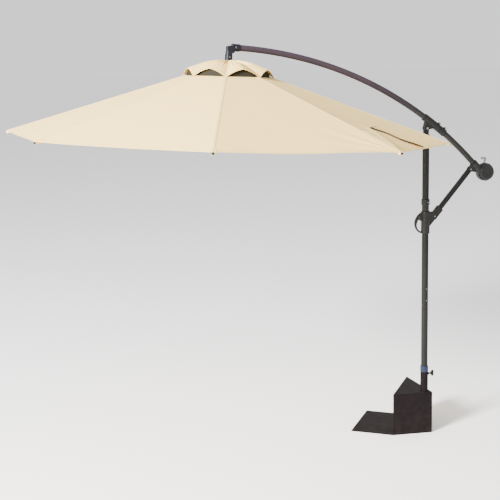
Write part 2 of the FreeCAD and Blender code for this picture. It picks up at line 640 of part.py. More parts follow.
def make_housing():
    top_x = STRUT_TOP_X
    top_z = STRUT_TOP_Z
    ear_in = STRUT_T / 2 + SIDE_FIT
    ear_out = ear_in + EAR_T
    case = rounded(at_winch(CASE_SPLIT, CASE_BACK, CASE_R), 9.0, rim_at(CASE_BACK))
    mouth_x = ARM_END_X - CASE_MOUTH
    sleeve = arm_sweep(mouth_x, WINCH_X - 10.0, ARM_TUBE_R + CASE_SLEEVE_WALL)
    mouth = arm_point(mouth_x)
    far = arm_point(ARM_END_X + 8.0)
    ear = slab_xz([(top_x - 12.0, top_z + 8.0), (mouth.x, mouth.z), (far.x, far.z),
                   (top_x + 34.0, top_z - 22.0), (top_x + 4.0, top_z - 14.0)], -ear_out, ear_out)
    eye = across(top_x, top_z, -ear_out, ear_out, STRUT_W / 2 + 1.5)
    case = fused(case, sleeve, ear, eye)
    strut_room = across(top_x, top_z, -ear_in, ear_in, STRUT_W / 2 + 3.0)
    below = slab_xz([(top_x - 60.0, top_z + 14.0), (top_x, top_z + 14.0), (top_x + 14.0, top_z),
                     (top_x + 14.0, top_z - 60.0), (top_x - 60.0, top_z - 60.0)], -ear_in, ear_in)
    cavity = at_winch(CASE_SPLIT - 60.0, CASE_BACK - CASE_WALL, CASE_R - 4 * CASE_WALL)
    axle_hole = at_winch(0, CASE_BACK + 1, AXLE_R + RUN_FIT)
    case = case.cut(strut_room).cut(below).cut(cavity).cut(axle_hole)
    case = case.cut(arm_sweep(mouth_x - 21.0, ARM_END_X + 0.1, SLEEVE_BORE_R))
    case = case.cut(arm_sweep(ARM_END_X - 1.0, WINCH_X - 12.0, ARM_TUBE_R - ARM_WALL))
    case = case.cut(across(top_x, top_z, -ear_out - 1, ear_out + 1, STRUT_PIN_R + SEAT_FIT))
    parts["crank_housing"] = one_solid(case.cut(at_winch(COVER_FRONT - 1, CASE_SPLIT, COVER_R + 0.3)))
    top_pin = across(top_x, top_z, -ear_out - 1.5, ear_out + 1.5, STRUT_PIN_R)
    parts["strut_top_pin"] = one_solid(top_pin)

    cover = rounded(at_winch(COVER_FRONT, CASE_SPLIT, COVER_R), 15.0, rim_at(COVER_FRONT))
    cover = cover.cut(at_winch(COVER_FRONT + 3 * CASE_WALL, CASE_SPLIT + 1, COVER_R - 14.0))
    parts["housing_cover"] = one_solid(cover.cut(at_winch(COVER_FRONT + 5.0, 0, AXLE_R + RUN_FIT)))


def make_winch():
    pitch = drum_pitch_radius()
    axle = at_winch(COVER_FRONT + 6.0, CRANK_Y - 0.2, AXLE_R)
    drum = at_winch(-DRUM_HALF, DRUM_HALF, pitch - CORD_R - 0.1)
    flanges = [at_winch(y, y + 3.0, pitch + DRUM_FLANGE) for y in (-DRUM_HALF - 3.0, DRUM_HALF)]
    parts["winch_drum"] = one_solid(fused(axle, drum, *flanges))

    arm_y1 = CRANK_Y + CRANK_T
    grip_y = arm_y1 + 0.8
    half_w = CRANK_W / 2
    crank = block(-half_w, half_w, CRANK_Y, arm_y1, 0, CRANK_L)
    crank = crank.fuse([across(0, 0, CRANK_Y, arm_y1, half_w + 3.0),
                        across(0, CRANK_L, CRANK_Y, arm_y1, half_w),
                        across(0, CRANK_L, arm_y1 - 0.2, grip_y + GRIP_L + 1.0, SPINDLE_R)])
    crank = one_solid(crank.removeSplitter())
    grip = rounded(across(0, CRANK_L, grip_y, grip_y + GRIP_L, GRIP_R), 3.0,
                   lambda e: isinstance(e.Curve, Part.Circle))
    grip = one_solid(grip.cut(across(0, CRANK_L, CRANK_Y, grip_y + GRIP_L + 2.0, SPINDLE_R + RUN_FIT)))
    for name, solid in (("crank_arm", crank), ("crank_grip", grip)):
        solid = turned(solid, CRANK_LEAN, Vector(0, 0, 0), Y_AXIS)
        solid.translate(WINCH)
        parts[name] = solid


# ---------------------------------------------------------------- hub at the arm's other end
def cord_leave():
    """Where the cord leaves the arm's arc above the pulley, and the pulley's centre.

    The pulley stands under the arc with its far side on the hub's axis.
    """
    apex = hub_point(0, 0)
    outward = hub_point(1, 0) - apex
    x = APEX_X
    for _ in range(6):
        x += PULLEY_PITCH_R - (arm_point(x, -PULLEY_PITCH_R) - apex).dot(outward)
    return arm_point(x), arm_point(x, -PULLEY_PITCH_R)


def hub_head(px, pz, half):
    """Pulley fork of the hub elbow: a squared block with two ears side by side on top."""
    head_r = PULLEY_PITCH_R + 10.0
    left = px - 2.0 - head_r
    head = block(left, px + 2.0, -half, half, pz, pz + head_r)
    head = rounded(head, HEAD_EDGE_R, lambda e: abs(e.tangentAt(e.FirstParameter).y) > 0.99
                   and e.CenterOfMass.x < px and e.CenterOfMass.z > pz + 1.0)
    ear = across(px + 9.0, pz + head_r - EAR_TOP_R, -half, half, EAR_TOP_R + 2.0)
    round_head = across(px - 2.0, pz + 1.0, -half, half, head_r)
    groove = across(px + 0.5, pz + head_r + 2.5, -half - 1, half + 1, 4.5)
    return fused(round_head, head, ear).cut(groove)


def make_hub():
    top, pulley_at = cord_leave()
    px = pulley_at.x
    pz = pulley_at.z
    room_half = PULLEY_HALF + 1.0
    head_half = room_half + 13.0
    sleeve = arm_sweep(ELBOW_LIP_X, ELBOW_END_X, SLEEVE_R - 1.5)
    lip = arm_sweep(ELBOW_LIP_X, ELBOW_LIP_X + 6.0, SLEEVE_R + 0.5)
    head = hub_head(px, pz, head_half)
    shaft = hub_place(upright(POST_TOP_H - 7.5, HUB_DROP - 21.0, POST_R + 2.0))
    skirt_r = POST_R + 5.0
    skirt = chamfered(upright(0.5, SKIRT_TOP_H, skirt_r), 2.0, circle_edge_at(SKIRT_TOP_H, skirt_r))
    elbow = fused(head, shaft, hub_place(skirt), sleeve, lip)
    elbow = elbow.cut(arm_sweep(ARM_HUB_X, ELBOW_END_X + 10.0, SLEEVE_BORE_R))
    elbow = elbow.cut(arm_sweep(top.x - 1.0, ARM_HUB_X + 1.0, HUB_BORE_R))
    elbow = elbow.cut(across(px, pz, -room_half, room_half, PULLEY_PITCH_R + PULLEY_FLANGE + 2.0))
    elbow = elbow.cut(across(px, pz, -room_half - 9.0, head_half + 1.0, PULLEY_AXLE_R + RUN_FIT))
    elbow = elbow.cut(hub_place(upright(-1.0, HUB_DROP - 15.0, HUB_BORE_R)))
    elbow = elbow.cut(hub_place(upright(-1.0, POST_TOP_H + 0.5, POST_R + SEAT_FIT)))
    parts["hub_elbow"] = one_solid(elbow)

    groove_r = CORD_R + 0.3
    wheel = across(px, pz, -PULLEY_HALF, PULLEY_HALF, PULLEY_PITCH_R + PULLEY_FLANGE)
    wheel = wheel.cut(Part.makeTorus(PULLEY_PITCH_R, groove_r, pulley_at, Y_AXIS))
    mouth = across(px, pz, -groove_r, groove_r, PULLEY_PITCH_R + PULLEY_FLANGE + 1.0)
    wheel = wheel.cut(mouth.cut(across(px, pz, -groove_r - 0.1, groove_r + 0.1, PULLEY_PITCH_R)))
    axle = across(px, pz, -room_half - 8.5, head_half + 0.5, PULLEY_AXLE_R)
    parts["elbow_pulley"] = one_solid(wheel.fuse(axle).removeSplitter())

    disc = chamfered(upright(HUB_FOOT_H, HUB_TOP_H, HUB_R), 2.0, circle_edge_at(HUB_FOOT_H, HUB_R))
    hub = fused(upright(HUB_FOOT_H, POST_TOP_H, POST_R), disc)
    slot = slot_for(RIB_PIN_R0 - 9.0, HUB_R, RIB_W, HUB_FOOT_H, HUB_TOP_H)
    hole = across(RIB_PIN_R0, RIB_PIN_H, -RIB_W - 1.0, RIB_W + 1.0, RIB_PIN_R + SEAT_FIT)
    pin = across(RIB_PIN_R0, RIB_PIN_H, -RIB_W / 2 - 3.0, RIB_W / 2 + 3.0, RIB_PIN_R)
    for angle in GORE_ANGLES:
        hub = hub.cut(turned(slot.fuse(hole), angle, Vector(0, 0, 0), Z_AXIS))
    hub = hub.cut(upright(HUB_FOOT_H - 1, POST_TOP_H + 1, HUB_BORE_R))
    parts["top_hub"] = one_solid(hub_place(hub))
    parts["rib_pins"] = Part.makeCompound([hub_place(pin, angle) for angle in GORE_ANGLES])


def slot_for(r0, r1, width, z0, z1):
    """Radial slot, drawn along X, that a bar of that width swings in."""
    half = width / 2 + SIDE_FIT
    return block(r0, r1 + 5.0, -half, half, z0 - 1, z1 + 1)


def make_runner():
    z0 = -RUNNER_DROP - RUNNER_T / 2
    z1 = -RUNNER_DROP + RUNNER_T / 2
    runner = upright(z0, z1, RUNNER_R)
    runner = chamfered(runner, 2.0, circle_edge_at(z0, RUNNER_R))
    runner = runner.fuse(upright(z0 - 14.0, z0 + 1.0, POST_R + 2.0))
    slot = slot_for(RUNNER_PIN_R0 - RUNNER_RIM, RUNNER_R, STRETCHER_W, z0, z1)
    for angle in GORE_ANGLES:
        runner = runner.cut(turned(slot, angle, Vector(0, 0, 0), Z_AXIS))
    parts["runner"] = one_solid(hub_place(runner))


# ---------------------------------------------------------------- ribs, stretchers and canopy
def rib_place(shape, angle):
    """From the rib's own axes (x outwards from its pin, z up) to its place."""
    copy = turned(shape, RIB_ANGLE, Vector(0, 0, 0), Y_AXIS)
    copy.translate(Vector(RIB_PIN_R0, 0, RIB_PIN_H))
    return hub_place(copy, angle)


def make_rib():
    half_w = RIB_W / 2
    half_h = RIB_H / 2
    eye_r = half_h - 1.0
    bar_end = RIB_L - 4.0
    bar = block(0, bar_end, -half_w, half_w, -half_h, half_h)
    bar = bar.cut(block(-1, 2 * eye_r, -half_w - 1, half_w + 1, eye_r, half_h + 1))
    bar = bar.cut(block(-1, 2 * eye_r, -half_w - 1, half_w + 1, -half_h - 1, -eye_r))
    bar = bar.fuse(across(0, 0, -half_w, half_w, eye_r))
    in_w = half_w - RIB_WALL
    channel = block(2 * eye_r + 4.0, RIB_L + 1, -in_w, in_w, -half_h - 1, half_h - RIB_WALL)
    below = -STRETCHER_OFF - RIB_PIN_R - 3.5
    cheek = slab_xz([(STRETCHER_AT - 16.0, 0), (STRETCHER_AT + 16.0, 0), (STRETCHER_AT + 8.0, below),
                     (STRETCHER_AT - 8.0, below)], half_w, half_w + 2.0)
    other = cheek.mirror(Vector(0, 0, 0), Y_AXIS)
    end_z = half_h - RIB_END_H
    flat_from = RIB_L - RIB_TIP_L - 4.0
    taper = slab_xz([(flat_from - RIB_TAPER_L, -half_h), (flat_from, end_z), (RIB_L + 10.0, end_z),
                     (RIB_L + 10.0, -half_h - 1.0), (flat_from - RIB_TAPER_L, -half_h - 1.0)],
                    -RIB_W, RIB_W)
    bar = bar.cut(channel).cut(taper).fuse([cheek, other])
    bar = bar.cut(across(STRETCHER_AT, -STRETCHER_OFF, -RIB_W, RIB_W, RIB_PIN_R + SEAT_FIT))
    bar = one_solid(bar.cut(across(0, 0, -RIB_W, RIB_W, RIB_PIN_R + RUN_FIT)).removeSplitter())
    pin = across(STRETCHER_AT, -STRETCHER_OFF, -half_w - 3.0, half_w + 3.0, RIB_PIN_R)

    wall = RIB_TIP_WALL
    tip_start = RIB_L - RIB_TIP_L
    tip = block(tip_start, RIB_L + 6.0, -half_w - wall, half_w + wall, end_z - wall, half_h - 1.0)
    tip = rounded(tip, 3.0, lambda e: abs(e.tangentAt(e.FirstParameter).y) > 0.99)
    seat_w = half_w + SEAT_FIT
    tip = tip.cut(block(tip_start - 1, bar_end, -seat_w, seat_w, end_z - SEAT_FIT, half_h + 1))
    return bar, pin, one_solid(tip)


def stretcher_ends():
    """Stretcher's pivots in the hub's (r, h): on the rib's bracket and in the runner."""
    slope = math.radians(RIB_ANGLE)
    top = (RIB_PIN_R0 + STRETCHER_AT * math.cos(slope) - STRETCHER_OFF * math.sin(slope),
           RIB_PIN_H - STRETCHER_AT * math.sin(slope) - STRETCHER_OFF * math.cos(slope))
    return top, (RUNNER_PIN_R0, -RUNNER_DROP)


def make_stretcher():
    """Drawn along +X from the bracket pin, then turned to point at the runner."""
    top, foot = stretcher_ends()
    length = math.hypot(top[0] - foot[0], top[1] - foot[1])
    half_w = STRETCHER_W / 2
    half_h = STRETCHER_H / 2
    hole_r = RIB_PIN_R + RUN_FIT
    bar = block(0, length, -half_w, half_w, -half_h, half_h)
    bar = bar.fuse([across(0, 0, -half_w, half_w, half_h), across(length, 0, -half_w, half_w, half_h)])
    in_w = half_w - RIB_WALL
    bar = bar.cut(block(STRETCHER_H, length - STRETCHER_H, -in_w, in_w, -half_h - 1, half_h - RIB_WALL))
    for x in (0, length):
        bar = bar.cut(across(x, 0, -STRETCHER_W, STRETCHER_W, hole_r))
    bar = one_solid(bar.removeSplitter())
    slope = math.degrees(math.atan2(top[1] - foot[1], top[0] - foot[0]))
    bar.rotate(Vector(0, 0, 0), Y_AXIS, 180.0 - slope)
    bar.translate(Vector(top[0], 0, top[1]))
    return bar


# ---------------------------------------------------------------- fabric
def gore_side(side):
    """Half of a gore, between its rib and the line half way to the next rib, with its share of the cap."""
    turn = math.radians(HALF_PANEL)
    reach = math.cos(turn)

    def rib(r, h):
        return (r, 0.0, h)

    def mid(r, h):
        return (r * math.cos(turn) + GORE_GAP / 2 * math.sin(turn),
                side * (r * math.sin(turn) - GORE_GAP / 2 * math.cos(turn)), h)

    up = (0, 0, FABRIC_T)
    eye_h = fabric_h(MAIN_EYE_R)
    rim_h = fabric_h(CANOPY_R)
    main_panel = prism([rib(MAIN_EYE_R, eye_h), rib(CANOPY_R, rim_h),
                        mid(CANOPY_R * reach, rim_h), mid(MAIN_EYE_R * reach, eye_h)], up)
    cap_h = fabric_h(CAP_R) + FABRIC_T + CAP_GAP
    high = mid(CAP_MID_R, cap_h + CAP_LIFT)
    cap_rib = prism([rib(CAP_EYE_R, CAP_EYE_H), rib(CAP_R, cap_h), high], up)
    cap_mid = prism([rib(CAP_EYE_R, CAP_EYE_H), high, mid(CAP_EYE_R, CAP_EYE_H)], up)
    return main_panel, fused(cap_rib, cap_mid)


def make_gore():
    main_a, cap_a = gore_side(1)
    main_b, cap_b = gore_side(-1)
    return [one_solid(fused(main_a, main_b)), one_solid(fused(cap_a, cap_b))]


def make_net():
    """Wind-vent netting: an eight-sided band on the canopy's own slope, inside its open centre."""
    outer = []
    inner = []
    for angle in GORE_ANGLES:
        turn = math.radians(angle)
        out = Vector(math.cos(turn), math.sin(turn), 0)
        outer.append(out * NET_R + Vector(0, 0, fabric_h(NET_R)))
        inner.append(out * NET_EYE_R + Vector(0, 0, fabric_h(NET_EYE_R)))
    panels = []
    for k in range(RIB_COUNT):
        n = (k + 1) % RIB_COUNT
        panels.append(prism([outer[k], outer[n], inner[n], inner[k]], (0, 0, NET_T)))
    return one_solid(hub_place(fused(*panels)))


def make_canopy():
    rib_solids = make_rib()
    stretcher = make_stretcher()
    gore = make_gore()
    for k, angle in enumerate(GORE_ANGLES, start=1):
        parts["rib_%d" % k] = Part.makeCompound([rib_place(s, angle) for s in rib_solids])
        parts["stretcher_%d" % k] = hub_place(stretcher, angle)
        parts["gore_%d" % k] = Part.makeCompound([hub_place(s, angle) for s in gore])
    parts["vent_net"] = make_net()


# ---------------------------------------------------------------- lift cord, drum to runner
def make_cord():
    top, pulley_at = cord_leave()
    end = arm_point(ARM_END_X)
    along = arm_end_direction()
    run = (WINCH - end).dot(along)
    pieces = [arm_sweep(top.x, ARM_END_X, CORD_R), cylinder(end, along, run, CORD_R)]
    out = (top - ARM_CENTRE).normalize()
    face = Part.Face(Part.Wire(Part.makeCircle(CORD_R, top, Vector(out.z, 0, -out.x))))
    wrap = 90.0 - CANOPY_TILT + arm_angle(top.x)
    pieces.append(one_solid(face.revolve(pulley_at, Y_AXIS, -wrap)))
    foot = hub_point(0, -RUNNER_DROP + RUNNER_T / 2)
    leave = pulley_at - (hub_point(1, 0) - hub_point(0, 0)) * PULLEY_PITCH_R
    pieces.append(cylinder(foot, leave - foot, (leave - foot).Length, CORD_R))
    parts["lift_cord"] = one_solid(fused(*pieces))


# ---------------------------------------------------------------- build and write
def main():
    make_base()
    make_mast()
    make_arm()
    make_collar()
    make_strut()
    make_housing()
    make_winch()
    make_hub()
    make_runner()
    make_canopy()
    make_cord()
    os.makedirs("parts", exist_ok=True)
    for name, shape in parts.items():
        assert shape.isValid(), name + " is not valid"
        shape.exportStep("parts/%s.step" % name)
        print("%-16s %2d solid(s) %12.0f mm3" % (name, len(shape.Solids), shape.Volume))
    print(len(parts), "nodes")


main()
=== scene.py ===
"""Looks of the cantilever parasol around its CAD model: cloth, seams, fixings, finishes and stage.

Metres, +Z up, ground at Z = 0, mast axis at X = Y = 0, canopy towards -X.
"""

import json
import math

import bmesh
import bpy
import numpy as np
from mathutils import Matrix, Vector

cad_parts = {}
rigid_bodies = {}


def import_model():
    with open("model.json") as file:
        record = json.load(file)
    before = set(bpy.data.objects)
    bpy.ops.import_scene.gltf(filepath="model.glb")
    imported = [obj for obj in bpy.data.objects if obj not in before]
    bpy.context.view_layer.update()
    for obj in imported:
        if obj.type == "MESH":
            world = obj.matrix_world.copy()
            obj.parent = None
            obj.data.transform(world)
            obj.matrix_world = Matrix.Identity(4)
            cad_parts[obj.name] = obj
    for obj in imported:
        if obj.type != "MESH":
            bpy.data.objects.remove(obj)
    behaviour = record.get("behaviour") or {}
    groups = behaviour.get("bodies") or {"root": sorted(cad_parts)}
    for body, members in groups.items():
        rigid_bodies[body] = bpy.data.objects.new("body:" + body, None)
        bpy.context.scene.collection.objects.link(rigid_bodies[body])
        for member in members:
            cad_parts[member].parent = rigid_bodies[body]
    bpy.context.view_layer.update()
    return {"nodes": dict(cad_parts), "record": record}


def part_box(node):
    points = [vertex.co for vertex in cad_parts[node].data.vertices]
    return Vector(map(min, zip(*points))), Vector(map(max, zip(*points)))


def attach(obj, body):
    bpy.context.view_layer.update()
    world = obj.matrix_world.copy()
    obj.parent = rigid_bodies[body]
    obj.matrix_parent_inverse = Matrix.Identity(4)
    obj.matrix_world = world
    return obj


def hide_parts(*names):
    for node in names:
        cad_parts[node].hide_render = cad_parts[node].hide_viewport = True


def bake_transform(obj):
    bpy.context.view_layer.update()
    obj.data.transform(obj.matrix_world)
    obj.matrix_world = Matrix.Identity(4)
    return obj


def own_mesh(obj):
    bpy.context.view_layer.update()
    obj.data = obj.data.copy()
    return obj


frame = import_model()

# ---------------------------------------------------------------- sizes of the cloth and hub
RIBS = 8
HALF = math.radians(180.0 / RIBS)       # angle from a rib to the middle of the panel beside it
TILT = math.radians(3.0)                # lean of the hub's axis
APEX = Vector((-1.360, 0.0, 2.541))     # where the ribs' slopes meet on the hub's axis
CANOPY_R = 1.350                        # at the ribs
EYE_R = 0.262                           # vent opening, at the ribs
FALL = 1.0 / 3.0                        # drop of a rib for each metre out
CLOTH_START = -0.005                    # underside of the cloth at the axis, below the apex
CLOTH_T = 0.0010
HEM_T = 0.0024
HEM_W = 0.028
SEAM_HALF = 0.0078
HEM_IN = 0.016                          # how far the rim curves in half way between two ribs
DIP = 0.013                             # how far the cloth lies below a flat panel, at the rim
SLACK_H = 0.0016                        # height of a panel's broad slack
PULL_H = 0.0007                         # height of the pull lines near its rim

# Vent cap over the eye, and the net between the two
CAP_EYE_R = 0.024
CAP_EYE_H = 0.002
CAP_R = 0.277                           # at the ribs
CAP_MID_R = 0.258                       # half way between them
CAP_LIFT = 0.048                        # height of an arch
CAP_ABOVE_GORE = 0.0015                 # the cap's corner over the gore
CAP_CROWN = 0.014                       # bulge of the cap along its slope
CAP_PLEAT_H = 0.0042
CAP_WAVE_H = 0.0014
NET_EYE_R = 0.060
NET_LAP = 0.004                         # the net goes this far over the gore's edge
NET_T = 0.0004
NET_LENGTH = 0.21                       # of one panel, down the slope
NET_UNDER_CAP = 0.008                   # the net's bulge stays this far under the cap
FULLNESS = {"Vent_cap": 1.15, "Vent_net": 1.40}     # cut this much larger than a flat panel

# Folded widths, canopy closed, as a share of the open width
CLOSED_WIDTH = 0.14                     # gores
CLOSED_CAP = 0.33                       # vent cap and net

# Slit near the rim, with a flap laid over it
SLIT_L = 0.290                          # share of the slope that it runs in from the rim
SLIT_PANEL = (7, 8)                     # between these ribs
SLIT_HEM_W = 0.016
SLIT_GAP = 0.0025                       # each side of it is drawn back this far
FLAP_SEWN = 0.028                       # flap's sewn side from the slit
# Radius of the dark binding along the flap's edge, which gives its shadow line: painted shadow.
SHADOW_PIPING_R = 0.0034
# Ridges from the corner beside the slit: run across and down from the corner, height, half width
PULL_RIDGES = ((0.30, 0.36, 0.0085, 0.030), (0.11, 0.34, 0.0060, 0.024))
CORNER_FOLD_H = 0.0028
CORNER_FOLD_REACH = 0.5

# Seams, thread and pockets
SEAM_W = 0.0075                         # half the width of a gore's folded seam
CAP_SEAM_W = 0.0055                     # and of the cap's
SEAM_STITCH_AT = 0.0052                 # each row of stitches from the middle of the seam
CAP_STITCH_AT = 0.0036
STITCH_UP = 0.0003                      # hem stitches over the cloth
SEAM_UP = 0.0010                        # top of a folded seam over the cloth
SEAM_ROWS = 44
STITCH_PITCH = 0.0042
STITCH_SIZE = (0.00045, 0.00045, 0.0016)
POCKET_R = 1.296                        # inner end of the corner pockets
POCKET_L = 0.060
POCKET_ROWS = 7
POCKET_HALF = 0.0082                    # inside half width and depth
POCKET_DEEP = 0.0152
POCKET_T = 0.0012
POCKET_LIP = 0.006                      # sewn to the cloth on each side
POCKET_ROUND = 0.0015                   # cut off its lower edges

# Lift cord: along the arm's bend, over the pulley in the elbow, down to the runner
CORD_R = 0.002
ARM_CENTRE = Vector((-1.5168, 0, 0.00779))
ARM_BEND_R = 2.619
CORD_END_IN = 0.02                      # inside the cord's box, at the drum
CORD_END_Z = 1.79
PULLEY_GROOVE_R = 0.014
RUNNER_DROP = 0.400                     # of the open runner below the apex
RUNNER_EYE = 0.013                      # the cord's end over the runner's middle

# Fixings
MAST_R = 0.0225
RING_WALL = 0.0055                      # of the ring above the collar
RIVET_X = 0.004
RIVET_DOWN = 0.020                      # below the ring's top
RIVET_R = 0.0042
SCREW_R = 0.0040
ELBOW_SCREW_R = 0.0050
JOINT_SCREW_OFF = 0.040                 # above and below the mast's joint
WELD_RING_R = 0.0268
WELD_R = 0.0022
WELD_UP = 0.0006
WELD_RIPPLE = 0.12
ELBOW_SCREW = (-1.318, -0.0232, 2.6215)
SKIRT_SCREW = Vector((0.0, -0.0228, 0.024))     # from the apex, in the hub's axes

# Mesh and shading
TURNED_SIDES = 28
BEAD_STEPS = 72
ROUND_SIDES = 10
CLOTH_CREASE = 9                        # degrees: sharper edges are not smoothed
SOFT_CREASE = 30

COS_HALF = math.cos(HALF)
SIN_HALF = math.sin(HALF)
TAN_HALF = math.tan(HALF)
SLOPE_COS = math.cos(math.atan(FALL))
SLOPE_L = (CANOPY_R - EYE_R) / SLOPE_COS        # length of a gore, down its rib
RIM_HALF = CANOPY_R * SIN_HALF                  # half the rim's side between two ribs
HUB = Matrix.Translation(APEX) @ Matrix.Rotation(TILT, 4, "Y")


def rib_turn(k):
    """Angle of rib k round the hub's axis."""
    return (2 * k - 1) * HALF


def ease(x, low=0.0, high=1.0):
    """0 at low and 1 at high, smooth between and level beyond."""
    t = min(1.0, max(0.0, (x - low) / (high - low)))
    return t * t * (3 - 2 * t)


# ---------------------------------------------------------------- materials
DUST = (0.30, 0.27, 0.235)
DUST_TOP = 0.33                         # dust thins out up to this height
PAINTED_REFLECTION_X = (-0.45, 0.02)             # the arm's colour changes between these: a painted reflection, its finish being the same throughout
GLOW = (0.90, 0.80, 0.62, 1.0)          # light that comes through the cloth
GLOW_SHARE = 0.08


class Maths:
    """A varying number in a material, with ordinary arithmetic."""

    def __init__(self, look, socket):
        self.look = look
        self.socket = socket

    def do(self, kind, *others):
        return self.look.maths(kind, self, *others)

    def __add__(self, other):
        return self.do("ADD", other)

    __radd__ = __add__

    def __sub__(self, other):
        return self.do("SUBTRACT", other)

    def __rsub__(self, other):
        return self.look.maths("SUBTRACT", other, self)

    def __mul__(self, other):
        return self.do("MULTIPLY", other)

    __rmul__ = __mul__

    def wave(self, per_metre):
        """Sine with this many periods in a metre."""
        return (self * (2 * math.pi * per_metre)).do("SINE")

    def between(self, low, high):
        """0 below low, 1 above high, clamped."""
        ends = {"Value": self, "From Min": low, "From Max": high}
        node = self.look.add("ShaderNodeMapRange", ends, clamp=True)
        return Maths(self.look, node.outputs[0])


class Look:
    """A procedural material with one Principled shader."""

    # Places of the colour sockets on a Mix node
    MIX_SHARE, MIX_FIRST, MIX_SECOND = 0, 6, 7
    MIX_RESULT = 2

    def __init__(self, name, colour, roughness, metallic=0.0, **constants):
        self.material = bpy.data.materials.new(name)
        self.material.use_nodes = True
        self.tree = self.material.node_tree
        self.shader = self.tree.nodes["Principled BSDF"]
        self.feed("Base Color", (*colour, 1.0))
        self.feed("Roughness", roughness)
        self.feed("Metallic", metallic)
        for socket, value in constants.items():
            self.feed(socket.replace("_", " "), value)

    def add(self, kind, inputs=(), **settings):
        """A node with its settings, then the values or links of its sockets, by name or in order."""
        node = self.tree.nodes.new(kind)
        for key, value in settings.items():
            setattr(node, key, value)
        pairs = inputs.items() if isinstance(inputs, dict) else enumerate(inputs)
        for key, value in pairs:
            self.join(value, node.inputs[key])
        return node

    def join(self, value, socket):
        """Links a varying value to a socket, or sets a constant one on it."""
        if isinstance(value, Maths):
            value = value.socket
        if isinstance(value, bpy.types.NodeSocket):
            self.tree.links.new(value, socket)
        else:
            socket.default_value = value

    def feed(self, socket, value):
        """The same for a socket of the shader."""
        self.join(value, self.shader.inputs[socket])

    def maths(self, kind, *values):
        return Maths(self, self.add("ShaderNodeMath", values, operation=kind).outputs[0])

    def place(self):
        return self.add("ShaderNodeTexCoord").outputs["Object"]

    def own_uv(self, name):
        """The two coordinates of the piece's own layout, in metres."""
        node = self.add("ShaderNodeSeparateXYZ", [self.add("ShaderNodeUVMap", uv_map=name).outputs[0]])
        return Maths(self, node.outputs[0]), Maths(self, node.outputs[1])

    def attribute(self, name):
        return Maths(self, self.add("ShaderNodeAttribute", attribute_name=name).outputs["Fac"])

    def noise(self, scale, detail=2.0, stretch=(1, 1, 1)):
        at = self.add("ShaderNodeMapping", {"Vector": self.place(), "Scale": stretch}).outputs[0]
        node = self.add("ShaderNodeTexNoise", {"Vector": at, "Scale": scale, "Detail": detail})
        return Maths(self, node.outputs[0])

    def along(self, axis):
        """Object coordinate along X (0), Y (1) or Z (2)."""
        return Maths(self, self.add("ShaderNodeSeparateXYZ", [self.place()]).outputs[axis])

    def blend(self, share, first, second):
        """Colour going from first to second as share goes from 0 to 1."""
        sockets = {self.MIX_SHARE: share, self.MIX_FIRST: first, self.MIX_SECOND: second}
        for index, value in sockets.items():
            if isinstance(value, tuple):
                sockets[index] = (*value, 1.0)
        return self.add("ShaderNodeMix", sockets, data_type="RGBA").outputs[self.MIX_RESULT]

    def relief(self, height, distance):
        """Bumps of this height in metres."""
        node = self.add("ShaderNodeBump", {"Height": height, "Distance": distance, "Strength": 1.0})
        self.feed("Normal", node.outputs[0])


def shade(colour, share):
    """A colour times a share, or times one share for each channel."""
    shares = share if isinstance(share, tuple) else (share,) * 3
    return tuple(c * f for c, f in zip(colour, shares))


def powder_coat(name, colour, glint, roughness, dust=0.0, gloss=0.12, painted_reflection_end=None):
    """Powder-coated steel: fine orange peel, a faint metallic fleck, dust towards the ground.

    The last argument is the colour that it turns to along the arm's lower end: a painted reflection, since
    the arm has one finish throughout.
    """
    look = Look(name, colour, roughness, Specular_IOR_Level=gloss, Coat_Weight=0.01, Coat_Roughness=0.25)
    broad = look.noise(7.0, 3.0)
    fleck = look.noise(2600.0, 0.0).between(0.62, 0.8)
    tone = look.blend(fleck * 0.55, look.blend(broad, shade(colour, 0.82), shade(colour, 1.2)), glint)
    # Painted reflection: the colour turns darker and greyer along the arm's lower end, though the finish
    # there is the same.
    if painted_reflection_end:
        tone = look.blend(look.along(0).between(*PAINTED_REFLECTION_X), tone, painted_reflection_end)
    if dust > 0:
        low = look.along(2).between(DUST_TOP, 0.0) * look.noise(28.0, 5.0).between(0.35, 0.75) * dust
        tone = look.blend(low, tone, DUST)
    look.feed("Base Color", tone)
    look.feed("Roughness", broad * 0.14 + (roughness - 0.07))
    look.relief(look.noise(700.0, 1.0) + look.noise(240.0, 1.0) * 0.6, 0.00018)
    return look.material


def moulded(name, colour, roughness, grain=0.00012):
    """Injection-moulded plastic with a spark-eroded grain."""
    look = Look(name, colour, roughness, Specular_IOR_Level=0.18)
    broad = look.noise(14.0, 3.0)
    look.feed("Base Color", look.blend(broad, shade(colour, 0.88), shade(colour, 1.14)))
    look.feed("Roughness", broad * 0.12 + (roughness - 0.06))
    look.relief(look.noise(1500.0, 2.0), grain)
    return look.material


def bare_metal(name, colour, roughness):
    """Plated or anodised metal with a fine grain and dull patches."""
    look = Look(name, colour, roughness, metallic=1.0)
    lines = look.noise(900.0, 1.0)
    patch = look.noise(45.0, 4.0)
    look.feed("Base Color", look.blend(patch.between(0.4, 0.7), colour, shade(colour, 0.72)))
    look.feed("Roughness", patch * 0.25 + lines * 0.08 + (roughness - 0.12))
    look.relief(lines, 0.00006)
    return look.material


